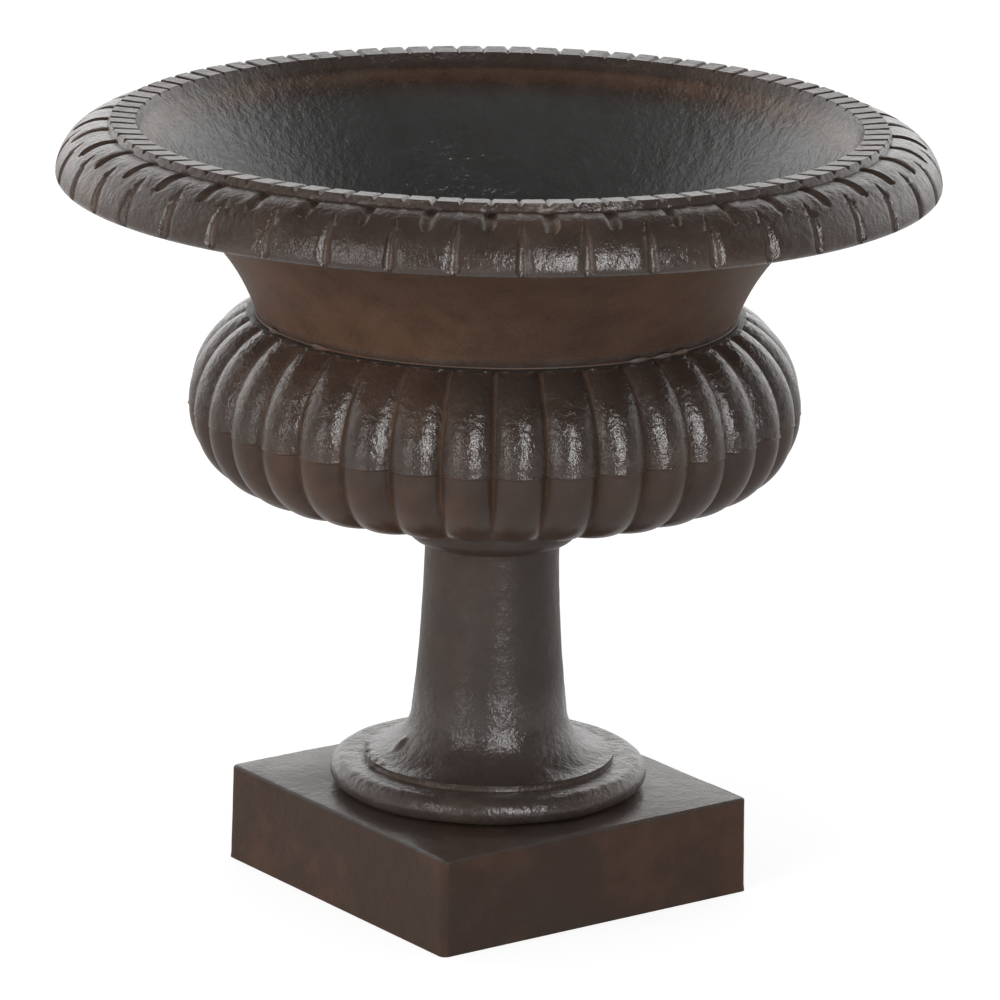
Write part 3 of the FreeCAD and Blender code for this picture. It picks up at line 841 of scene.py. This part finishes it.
    def _cast(self, mesh: Mesh, ends: Ends) -> None:
        """Gives the casting its unevenness and notes where its skin is rough, glossy or stained."""
        along, rust_and_painted_light, peel, sheen, grey = layers_of(mesh)
        bead_end = ends["bead_inside"]
        for vert in mesh.verts:
            way = vert[along]
            waver = self.LONG_WAVER.at(vert.co) + self.SHORT_WAVER.at(vert.co)
            if ends["ovolo"] <= way <= bead_end:
                waver += self.BEAD_WAVER.at(vert.co)
            skin = self.ROLL_SKIN if way > ends["lip"] else self.NECK_SKIN
            if bead_end < way < ends["funnel"]:
                skin = self.FUNNEL_SKIN._replace(grey=smooth_step(*self.soot_reach, way - bead_end))
            vert[peel], vert[sheen], vert[grey] = skin
            if ends["bead_wall"] - NEAR <= way <= ends["bead_top"] + NEAR:
                vert[sheen] = self.bead_sheen
            # The neck gets a mottled rust-brown tone, partly its own rust and partly painted light that makes
            # up for the shade under the rim.
            if way <= ends["neck"]:
                vert[rust_and_painted_light] = self.neck_rust_and_painted_light + self.joint_rust * fade(0.0, self.joint_rust_height, way)
            elif abs(way - ends["ovolo"]) < self.crease_width:
                vert[rust_and_painted_light] = max(vert[rust_and_painted_light], self.crease_rust)
            if way > bead_end:
                mouth_rust = self.mouth_rust * fade(*self.mouth_rust_reach, way - bead_end)
                vert[rust_and_painted_light] = max(vert[rust_and_painted_light], mouth_rust)
            if vert.co.z > (self.foot_level + self.foot_kept) * MM:
                vert.co += vert.normal * (waver - self.set_back) * MM


@dataclass
class GadroonedBowl(TurnedPiece):
    """Bowl with convex lobes, a parting line round its belly and a boss over the stem."""

    drain_radius: float = 3.2
    drain_circle: float = 15.8
    drain_levels: tuple[float, float] = (162.0, 186.0)
    drains: int = 4
    lobes: int = 36
    lobe_flank: float = 56.0
    phase: float = -1.4
    columns_per_lobe: int = 16
    flash_half: float = 0.55
    flash_blend: float = 0.4
    flash_rise: float = 0.8
    flash_mean: float = 0.55
    flash_rust: float = 0.95
    lower_inset: float = 0.25
    set_back: float = 0.25
    dents_lost: float = 0.7
    lip_rust: float = 0.45
    lip_rust_height: float = 9.0
    valley_half: float = 0.6
    valley_reach: float = 2.0
    valley_narrowing: float = 0.6
    valley_dulling: float = 0.6
    belly_dulling: float = 0.30
    belly_dulling_height: float = 16.0
    foot_rust: float = 0.1
    inside_rust: float = 0.3

    name = "bowl_casting"
    node = "gadrooned_bowl"
    START = (121.8, 288.5)
    RUNS = (
        Run("shoulder", 150.3, 244.0, 1.7, 49.0, Bend.RIGHT),
        Run("flash", 150.3, 242.4, 0.4),
        Run("belly", 118.7044, 204.5242, 1.7, 38.5, Bend.RIGHT),
        Run("underside", 50.0, 192.0, 3.2),
        Run("ledge", 43.0, 192.0, 2.4),
        Run("collar", 43.0, 180.5, 1.5),
        Run("collar_round", 33.5, 174.0, 1.6, 9.0, Bend.RIGHT),
        Run("seat", 20.7, 174.0, 4.3),
        Run("boss", 20.7, 164.0, 3.0),
        Run("boss_foot", 6.5, 164.0, 4.8),
        Run("rod_hole", 6.5, 184.0, 5.0),
        Run("floor", 26.0, 184.0, 4.0),
        Run("well", 34.0, 197.0, 4.0),
        Run("slope", 121.3525, 220.3568, 6.0),
        Run("inner_belly", 137.3, 244.0, 4.0, 25.5),
        Run("inner_shoulder", 108.0, 288.5, 5.0, 48.4),
        Run("lip", 121.8, 288.5, 3.0),
    )
    UPPER_SKIN = Skin(peel=1.0, sheen=0.85, grey=0.30)
    LOWER_SKIN = Skin(peel=0.2, sheen=0.63, grey=0.15)
    FOOT_SKIN = Skin(peel=0.2, sheen=0.3, grey=0.3)
    FLOOR_SKIN = Skin(peel=0.2, sheen=0.3, grey=0.75)
    WALL_SKIN = Skin(peel=0.6, sheen=0.3, grey=0.75)
    WAVER = Waver(0.22, 34.0, 6.0)
    DENTS = Waver(0.10, 8.0, 8.0)
    RAGGED = Waver(0.45, 11.0, 5.0)

    @property
    def columns(self) -> int:
        """Number of columns round the axis."""
        return self.lobes * self.columns_per_lobe

    def _bore(self) -> Bore:
        """Drains round the rod."""
        angles = [index * FULL_TURN / self.drains for index in range(self.drains)]
        centres = [(self.drain_circle * math.cos(angle), self.drain_circle * math.sin(angle))
                   for angle in angles]
        return Bore(centres, self.drain_radius, *self.drain_levels)

    def _work(self, mesh: Mesh, ends: Ends) -> None:
        """Draws the columns in to the valleys between the lobes and marks the parting line."""
        along, rust_and_painted_light, peel, sheen, grey = layers_of(mesh)
        half_pitch = math.pi / self.lobes
        bulge = math.tan(math.radians(self.lobe_flank) / 2)
        valley = 1.0 / (math.cos(half_pitch) + math.sin(half_pitch) * bulge)
        centre = (1.0 - valley ** 2) / (2.0 * (1.0 - valley * math.cos(half_pitch)))
        phase = math.radians(self.phase)
        flash_middle = (ends["shoulder"] + ends["flash"]) / 2
        for vert in mesh.verts:
            way = vert[along]
            if way > ends["underside"] + NEAR:
                skin = self.FLOOR_SKIN if way > ends["rod_hole"] else self.FOOT_SKIN
                vert[rust_and_painted_light] = self.inside_rust if way > ends["rod_hole"] else self.foot_rust
                vert[peel], vert[sheen], vert[grey] = self.WALL_SKIN if way > ends["floor"] else skin
                continue
            lobe = (math.atan2(vert.co.y, vert.co.x) - phase) / (2 * half_pitch)
            within = (lobe - round(lobe)) * 2 * half_pitch
            side = centre * math.sin(within)
            share = centre * math.cos(within) + math.sqrt((1 - centre) ** 2 - side ** 2)
            radius = math.hypot(vert.co.x, vert.co.y)
            lower = smooth_step(flash_middle - self.flash_blend, flash_middle + self.flash_blend, way)
            flash = max(0.0, 1.0 - abs(way - flash_middle) / self.flash_half)
            move = self.flash_rise * flash * (self.flash_mean + self.RAGGED.at(vert.co))
            dents = self.DENTS.at(vert.co) * (1.0 - self.dents_lost * lower)
            move += self.WAVER.at(vert.co) + dents
            share += (move - self.lower_inset * lower - self.set_back) * MM / radius
            vert.co.x *= share
            vert.co.y *= share
            from_valley = (half_pitch - abs(within)) * radius / MM
            valley_end = self.valley_reach - self.valley_narrowing * lower
            valley_rust = fade(self.valley_half, valley_end, from_valley)
            lip_rust = self.lip_rust * fade(0.0, self.lip_rust_height, way)
            vert[rust_and_painted_light] = max(valley_rust, lip_rust, self.flash_rust * flash)
            skin = self.UPPER_SKIN.toward(self.LOWER_SKIN, lower)
            dull_start = flash_middle - self.belly_dulling_height
            dulling = self.belly_dulling * smooth_step(dull_start, flash_middle, way)
            vert[peel], vert[grey] = skin.peel, skin.grey
            vert[sheen] = (skin.sheen - dulling) * (1.0 - self.valley_dulling * valley_rust)


@dataclass
class JointPutty(TurnedPiece):
    """Bead of putty squeezed out of the joint between neck and bowl."""

    outside: float = 117.8
    middle: float = 289.0
    columns: int = 360
    squeeze: float = 0.25
    edge_depth: float = 0.1
    blob_angles: tuple[float, ...] = (169.6, -171.4, -91.4, -84.0, -78.4)
    blob_reach: tuple[float, float] = (0.4, 3.2)
    blob_height: float = 1.6
    blob_stretch: float = 2.4

    name = "putty_bead"
    node = "joint_putty"
    START = (109.5, 288.5)
    RUNS = (
        Run("bottom", 117.8, 288.5, 2.0),
        Run("edge", 117.8, 289.5, 0.3, 0.52),
        Run("top", 109.5, 289.5, 2.0),
        Run("inside", 109.5, 288.5, 1.0),
    )
    slot = Slot.PUTTY
    WAVER = Waver(0.35, 14.0, 11.0)

    def _work(self, mesh: Mesh, ends: Ends) -> None:
        """Squeezes the outer edge out, most of all at the blobs."""
        middle = self.middle * MM
        for vert in mesh.verts:
            radius = math.hypot(vert.co.x, vert.co.y) / MM
            if radius < self.outside - self.edge_depth:
                continue
            angle = math.atan2(vert.co.y, vert.co.x)
            blob = max(self._near(angle, math.radians(spot)) for spot in self.blob_angles)
            share = 1.0 + (self.squeeze + self.WAVER.at(vert.co) + self.blob_height * blob) / radius
            vert.co.x *= share
            vert.co.y *= share
            vert.co.z = middle + (vert.co.z - middle) * (1.0 + self.blob_stretch * blob)

    def _near(self, angle: float, spot: float) -> float:
        """1 at a blob's angle, falling to 0 a few degrees away."""
        return fade(*self.blob_reach, math.degrees(abs(math.remainder(angle - spot, FULL_TURN))))


@dataclass
class Stem(TurnedPiece):
    """Hollow stem with a cove, a disc and a ring foot."""

    disc_radius: float = 62.3
    disc_level: float = 65.5
    base_level: float = 88.5
    top_kept: float = 1.0
    columns: int = 224
    nub_angle: float = 163.6
    nub_level: float = 72.0
    nub_reach: tuple[float, float] = (0.5, 4.5)
    nub_height: float = 1.8
    chip_angle: float = 158.0
    chip_reach: tuple[float, float] = (1.5, 4.0)
    chip_spread: tuple[float, float] = (0.2, 0.45)
    chip_share: float = 0.3
    chip_depth: float = 2.2
    gloss_height: float = 22.0
    corner_rust: float = 0.5
    corner_rust_reach: float = 4.0
    set_back: float = 0.3

    name = "stem_casting"
    node = "stem"
    START = (21.0, 43.6)
    RUNS = (
        Run("spigot_end", 26.0, 43.6, 2.5),
        Run("spigot", 26.0, 48.6, 2.5),
        Run("seat", 71.9, 48.6, 9.0),
        Run("ring_low", 78.9, 55.6, 1.1, 7.0),
        Run("ring_high", 71.9, 62.6, 1.1, 7.0),
        Run("ledge", 62.3, 62.6, 1.2),
        Run("disc", 62.3, 65.5, 0.7),
        Run("cove", 38.6, 88.5, 1.3, 23.7, Bend.RIGHT),
        Run("shaft", 33.5, 174.0, 2.2, 719.2412, Bend.RIGHT),
        Run("top", 21.0, 174.0, 4.0),
        Run("bore", 21.0, 43.6, 9.0),
    )
    SHAFT_SKIN = Skin(peel=0.55, sheen=0.18, grey=0.45)
    FOOT_SKIN = Skin(peel=0.85, sheen=0.68, grey=0.45)
    LONG_WAVER = Waver(0.30, 30.0, 14.0)
    SHORT_WAVER = Waver(0.14, 7.0, 15.0)
    CHIPS = Waver(1.0, 5.0, 31.0)
    RUSTY_CORNERS = ("seat", "ledge", "shaft")

    def _work(self, mesh: Mesh, ends: Ends) -> None:
        """Gives the casting its unevenness and notes where its skin is rough, glossy or stained."""
        along, rust_and_painted_light, peel, sheen, grey = layers_of(mesh)
        for vert in mesh.verts:
            way = vert[along]
            low = fade(self.base_level, self.base_level + self.gloss_height, vert.co.z / MM)
            vert[peel], vert[sheen], vert[grey] = self.SHAFT_SKIN.toward(self.FOOT_SKIN, low)
            if ends["seat"] < way < ends["shaft"] - self.top_kept:
                waver = self.LONG_WAVER.at(vert.co) + self.SHORT_WAVER.at(vert.co)
                vert.co += vert.normal * (waver + self._scars(vert.co) - self.set_back) * MM
            corner = min(abs(way - ends[name]) for name in self.RUSTY_CORNERS)
            vert[rust_and_painted_light] = self.corner_rust * fade(0.0, self.corner_rust_reach, corner)

    def _scars(self, place: Vector) -> float:
        """Height in millimetres of the casting nub on the cove and of the chips in the disc's edge."""
        angle = math.atan2(place.y, place.x)
        radius, level = math.hypot(place.x, place.y) / MM, place.z / MM
        around = math.remainder(angle - math.radians(self.nub_angle), FULL_TURN)
        nub = self.nub_height * fade(*self.nub_reach, math.hypot(around * radius, level - self.nub_level))
        from_edge = math.hypot(radius - self.disc_radius, level - self.disc_level)
        from_chip = abs(math.remainder(angle - math.radians(self.chip_angle), FULL_TURN))
        chip = self.chip_depth * fade(*self.chip_reach, from_edge) * fade(*self.chip_spread, from_chip)
        return nub - chip * max(0.0, self.chip_share + self.CHIPS.at(place))


@dataclass
class Plinth(Piece):
    """Square plinth with draft, worn edges and a hollow below its plate."""

    foot_side: float = 186.0
    draft: float = 0.6
    height: float = 48.6
    wall: float = 8.0
    plate: float = 8.0
    edge_round: float = 1.8
    edge_segments: int = 4
    corner_round: float = 3.6
    corner_segments: int = 5
    hole_radius: float = 26.3
    hole_overrun: float = 4.0
    upright_rise: float = 10.0
    long_edge: float = 60.0
    long_cuts: int = 56
    tall_edge: float = 25.0
    tall_cuts: int = 14
    worn_rise: tuple[float, float] = (0.08, 0.3)
    worn_fall: tuple[float, float] = (0.7, 0.98)
    worn_grey: float = 0.4
    upward_reach: tuple[float, float] = (0.3, 0.9)
    foot_kept: float = 0.5
    set_back: float = 0.3
    ring_rust: float = 0.6
    ring_rust_radius: float = 77.0
    ring_rust_reach: float = 9.0
    top_depth: float = 2.0

    name = "plinth_casting"
    node = "plinth"
    SIDE_SKIN = Skin(peel=0.4, sheen=0.08, grey=0.05)
    TOP_SKIN = Skin(peel=0.4, sheen=0.46, grey=0.40)
    LONG_WAVER = Waver(0.28, 38.0, 21.0)
    SHORT_WAVER = Waver(0.10, 8.0, 22.0)

    def _bore(self) -> Bore:
        """Hole in the plate for the stem's spigot."""
        return Bore([(0.0, 0.0)], self.hole_radius, self.height - self.plate - self.hole_overrun,
                    self.height + self.hole_overrun)

    def _shape(self, mesh: Mesh) -> None:
        """Makes the drafted block, hollows it from below, rounds its outer edges and works it over."""
        middle = Matrix.Translation((0.0, 0.0, self.height / 2 * MM))
        size = Matrix.Diagonal((self.foot_side * MM, self.foot_side * MM, self.height * MM, 1.0))
        bmesh.ops.create_cube(mesh, size=1.0, matrix=middle @ size)
        self._draw_in([vert for vert in mesh.verts if vert.co.z > self.height / 2 * MM])
        foot = next(face for face in mesh.faces if face.calc_center_median().z < Workshop.WELD)
        edges = [edge for edge in mesh.edges if edge not in set(foot.edges)]
        bmesh.ops.inset_region(mesh, faces=[foot], thickness=self.wall * MM, use_even_offset=True)
        hollow = bmesh.ops.extrude_discrete_faces(mesh, faces=[foot])["faces"][0]
        bmesh.ops.translate(mesh, verts=hollow.verts[:], vec=(0.0, 0.0, (self.height - self.plate) * MM))
        self._draw_in(hollow.verts[:])
        upright = [edge for edge in edges
                   if abs(edge.verts[0].co.z - edge.verts[1].co.z) > self.upright_rise * MM]
        bmesh.ops.bevel(mesh, geom=upright, offset=self.corner_round * MM, offset_type="OFFSET",
                        segments=self.corner_segments, profile=0.5, affect="EDGES", material=-1)
        top_level = self.height * MM - Workshop.WELD
        rim = [edge for edge in mesh.edges
               if all(vert.co.z > top_level for vert in edge.verts) and not edge.is_wire]
        bmesh.ops.bevel(mesh, geom=rim, offset=self.edge_round * MM, offset_type="OFFSET",
                        segments=self.edge_segments, profile=0.5, affect="EDGES", material=-1)
        for length, cuts in ((self.long_edge, self.long_cuts), (self.tall_edge, self.tall_cuts)):
            edges = [edge for edge in mesh.edges if edge.calc_length() > length * MM]
            bmesh.ops.subdivide_edges(mesh, edges=edges, cuts=cuts, use_grid_fill=True)
        bmesh.ops.recalc_face_normals(mesh, faces=mesh.faces[:])
        mesh.normal_update()
        self._cast(mesh)
        mesh.normal_update()

    def _draw_in(self, verts: list[Vert]) -> None:
        """Moves points towards the axis by the draft of the mould."""
        for vert in verts:
            vert.co.x -= math.copysign(self.draft * MM, vert.co.x)
            vert.co.y -= math.copysign(self.draft * MM, vert.co.y)

    def _cast(self, mesh: Mesh) -> None:
        """Gives the casting its unevenness and notes where its skin is rough, glossy or stained."""
        _, rust_and_painted_light, peel, sheen, grey = layers_of(mesh)
        for vert in mesh.verts:
            facing = vert.normal.z
            worn = smooth_step(*self.worn_rise, facing) * fade(*self.worn_fall, facing)
            # Skin that faces up is greyer and paler than the sides.
            skin = self.SIDE_SKIN.toward(self.TOP_SKIN, smooth_step(*self.upward_reach, facing))
            vert[peel], vert[sheen] = skin.peel, skin.sheen
            vert[grey] = skin.grey + self.worn_grey * worn
            if vert.co.z > self.foot_kept * MM:
                waver = self.LONG_WAVER.at(vert.co) + self.SHORT_WAVER.at(vert.co)
                vert.co += vert.normal * (waver - self.set_back) * MM
            if vert.co.z > (self.height - self.top_depth) * MM:
                away = abs(math.hypot(vert.co.x, vert.co.y) / MM - self.ring_rust_radius)
                vert[rust_and_painted_light] = self.ring_rust * fade(0.0, self.ring_rust_reach, away)


@dataclass
class JointLugs(Piece):
    """Four ears inside a joint, each with a round nose and a hole for a bolt."""

    name: str
    node: str
    bottom: float
    top: float
    circle: float = 97.0
    width: float = 22.0
    wall_radius: float = 113.0
    hole_radius: float = 4.5
    count: int = 4
    segments: int = 48
    rust: float = 0.35

    SKIN = Skin(peel=0.6, sheen=0.3, grey=0.8)

    def _shape(self, mesh: Mesh) -> None:
        """Adds the ears and notes their skin."""
        for index in range(self.count):
            self._ear(mesh, index * FULL_TURN / self.count)
        _, rust_and_painted_light, peel, sheen, grey = layers_of(mesh)
        for vert in mesh.verts:
            vert[peel], vert[sheen], vert[grey] = self.SKIN
            vert[rust_and_painted_light] = self.rust

    def _ear(self, mesh: Mesh, angle: float) -> None:
        """Adds one ear, turned to an angle round the axis."""
        made = bmesh.ops.create_circle(mesh, segments=self.segments, radius=self.hole_radius * MM)
        inner = {edge for vert in made["verts"] for edge in vert.link_edges}
        grown = bmesh.ops.extrude_edge_only(mesh, edges=list(inner))["geom"]
        half, reach = self.width / 2, self.wall_radius - self.circle
        for vert in (item for item in grown if isinstance(item, Vert)):
            way = vert.co.normalized()
            stretch = half
            if way.x > 0.0:
                stretch = min(reach / way.x, half / max(abs(way.y), Workshop.WELD))
            vert.co = way * stretch * MM
        faces = [item for item in grown if isinstance(item, bmesh.types.BMFace)]
        raised = bmesh.ops.extrude_face_region(mesh, geom=faces, use_keep_orig=True)["geom"]
        lifted = [item for item in raised if isinstance(item, Vert)]
        bmesh.ops.translate(mesh, verts=lifted, vec=(0.0, 0.0, (self.top - self.bottom) * MM))
        ear = {vert for face in faces for vert in face.verts} | set(lifted)
        bmesh.ops.translate(mesh, verts=list(ear), vec=Vector((self.circle, 0.0, self.bottom)) * MM)
        bmesh.ops.rotate(mesh, verts=list(ear), cent=ORIGIN, matrix=Matrix.Rotation(angle, 3, "Z"))


@dataclass
class TieRod(TurnedPiece):
    """Rod through the stem, with a thread cut on each end."""

    radius: float = 6.0
    root_radius: float = 5.1
    pitch: float = 1.75
    ridge_sunk: float = 0.1
    threads: tuple[tuple[float, float], ...] = ((17.0, 48.3), (172.3, 201.6))
    columns: int = 24

    name = "threaded_rod"
    node = "tie_rod"
    START = (0.0, 16.3)
    RUNS = (
        Run("lower_face", 4.4, 16.3, 2.5),
        Run("lower_chamfer", 5.1, 17.0, 2.0),
        Run("lower_root", 5.1, 48.3, 40.0),
        Run("lower_runout", 6.0, 49.2, 2.0),
        Run("shank", 6.0, 171.4, 20.0),
        Run("upper_runout", 5.1, 172.3, 2.0),
        Run("upper_root", 5.1, 201.6, 40.0),
        Run("upper_chamfer", 4.4, 202.3, 2.0),
        Run("upper_face", 0.0, 202.3, 2.5),
    )
    slot = Slot.STEEL
    RIDGE = (0.0, 0.40, 0.55, 0.95)

    def _work(self, mesh: Mesh, ends: Ends) -> None:
        """Cuts a thread on each end."""
        for low, high in self.threads:
            self._thread(mesh, low, high)

    def _thread(self, mesh: Mesh, low: float, high: float) -> None:
        """Winds the ridge of a thread round the rod between two heights."""
        turns = int((high - low) / self.pitch) - 1
        root = self.root_radius - self.ridge_sunk
        verts = []
        for across, share in zip((root, self.radius, self.radius, root), self.RIDGE):
            verts.append(mesh.verts.new((across * MM, 0.0, (low + share * self.pitch) * MM)))
        start = mesh.faces.new(verts)
        bmesh.ops.spin(mesh, geom=[start, *start.edges, *verts], cent=ORIGIN, axis=UP,
                       dvec=UP * (self.pitch * MM / self.columns),
                       angle=turns * FULL_TURN, steps=turns * self.columns)


@dataclass(frozen=True)
class Lamp:
    """An area lamp that faces the urn.

    Its azimuth counts in degrees to the right of the camera, its elevation in degrees above the horizon.
    """

    name: str
    use: LampUse
    azimuth: float
    elevation: float
    distance: float
    size: tuple[float, float]
    power: float


@dataclass
class Studio:
    """Pale floor, soft lamps and the camera, all placed by the side that the urn shows to the camera."""

    azimuth: float = -36.44
    elevation: float = 15.096
    distance: float = 3.0277
    aim: tuple[float, float, float] = (0.00277, -0.00204, 0.1933)
    lens: float = 221.5
    sensor: float = 36.0
    roll: float = 1.1
    far: float = 50.0
    floor_radius: float = 9.0
    floor_segments: int = 96
    white: Colour = (1.0, 1.0, 1.0)
    backdrop_level: float = 2.4
    front_level: float = 0.06
    front_reach: tuple[float, float] = (-0.9, 0.6)
    ceiling_reach: tuple[float, float] = (0.4, 0.8)
    ambient: float = 0.42
    lamps: tuple[Lamp, ...] = (
        Lamp("fill_left", LampUse.FILL, -44.0, 6.0, distance=2.6, size=(1.7, 1.9), power=43.0),
        Lamp("fill_right", LampUse.FILL, 30.0, 8.0, distance=2.6, size=(0.8, 1.2), power=8.0),
        Lamp("streak_left", LampUse.STREAK, -38.0, 13.0, distance=2.6, size=(0.32, 1.7), power=18.0),
        Lamp("streak_right", LampUse.STREAK, 21.0, 13.0, distance=2.5, size=(0.48, 1.8), power=62.0),
    )

    def build(self) -> None:
        """Builds the floor, the lamps, the surroundings and the camera."""
        bpy.context.scene.view_settings.view_transform = "Standard"
        self._floor()
        self._surroundings()
        for lamp in self.lamps:
            self._hang(lamp)
        self._camera()

    def _direction(self, azimuth: float, elevation: float) -> Vector:
        """Way from the urn to a place, with azimuth counted to the right of the camera, in degrees."""
        side = math.radians(self.azimuth + azimuth)
        height = math.radians(elevation)
        flat = math.cos(height)
        return Vector((math.sin(side) * flat, -math.cos(side) * flat, math.sin(height)))

    def _hang(self, lamp: Lamp) -> None:
        """Hangs a lamp."""
        light = bpy.data.lights.new(lamp.name, "AREA")
        light.shape = "RECTANGLE"
        light.size, light.size_y = lamp.size
        light.energy = lamp.power
        holder = bpy.data.objects.new(lamp.name, light)
        way = self._direction(lamp.azimuth, lamp.elevation)
        holder.location = Vector(self.aim) + way * lamp.distance
        holder.rotation_euler = way.to_track_quat("Z", "Y").to_euler()
        holder.visible_glossy = lamp.use is LampUse.STREAK
        holder.visible_diffuse = lamp.use is LampUse.FILL
        bpy.context.scene.collection.objects.link(holder)

    def _floor(self) -> None:
        """Lays a pale floor that shows white to the camera and keeps the shadow."""
        mesh = bmesh.new()
        bmesh.ops.create_circle(mesh, cap_ends=True, radius=self.floor_radius, segments=self.floor_segments)
        floor = Workshop.place(mesh, "floor")
        floor.data.materials.append(FloorFinish("floor_paint").material())

    def _surroundings(self) -> None:
        """Lights the urn from a white backdrop behind and beside it, dark towards the camera and overhead."""
        world = bpy.data.worlds.new("studio")
        bpy.context.scene.world = world
        world.use_nodes = True
        shader = Shader(world.node_tree)
        rays = shader.node("ShaderNodeLightPath")
        way = shader.node("ShaderNodeTexCoord").outputs["Generated"]
        front = shader.along(way, self._direction(0.0, 0.0)).eased(*self.front_reach)
        dark = front.at_least(shader.along(way, UP).eased(*self.ceiling_reach))
        level = self.backdrop_level - (self.backdrop_level - self.front_level) * dark
        camera = shader.number(rays, "Is Camera Ray")
        diffuse = shader.number(rays, "Is Diffuse Ray")
        level = level + diffuse * (self.ambient - level)
        strength = camera + (1.0 - camera) * level
        glow = shader.node("ShaderNodeBackground", None, {"Color": self.white, "Strength": strength})
        shader.node("ShaderNodeOutputWorld", None, {"Surface": glow.outputs[0]})

    def _camera(self) -> None:
        """Sets the camera at the height, side and slight lean of the picture."""
        data = bpy.data.cameras.new("camera")
        data.lens = self.lens
        data.sensor_width = self.sensor
        data.sensor_fit = "HORIZONTAL"
        data.clip_end = self.far
        camera = bpy.data.objects.new("camera", data)
        way = self._direction(0.0, self.elevation)
        camera.location = Vector(self.aim) + way * self.distance
        look = way.to_track_quat("Z", "Y").to_matrix()
        camera.rotation_euler = (look @ Matrix.Rotation(math.radians(self.roll), 3, "Z")).to_euler()
        bpy.context.scene.collection.objects.link(camera)
        bpy.context.scene.camera = camera


def main() -> None:
    """Builds the urn piece by piece and sets the studio."""
    logging.basicConfig(level=logging.INFO, format="%(name)s: %(message)s")
    Studio().build()
    RimAndNeck().build(IronFinish("rim_iron").material())
    GadroonedBowl().build(IronFinish("bowl_iron").material())
    lug_iron = IronFinish("lug_iron").material()
    JointLugs("bowl_lugs", "gadrooned_bowl", bottom=279.5, top=288.5).build(lug_iron)
    JointLugs("neck_lugs", "rim_and_neck", bottom=289.5, top=298.5).build(lug_iron)
    JointPutty().build(PuttyFinish("joint_putty").material())
    Stem().build(IronFinish("stem_iron").material())
    Plinth().build(IronFinish("plinth_iron").material())
    steel = SteelFinish("plated_steel").material()
    TieRod().build(steel)
    for name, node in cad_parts.items():
        if not node.hide_render:
            node.data.materials.clear()
            node.data.materials.append(steel)
            LOG.info("%s: dressed", name)


if __name__ == "__main__":
    main()
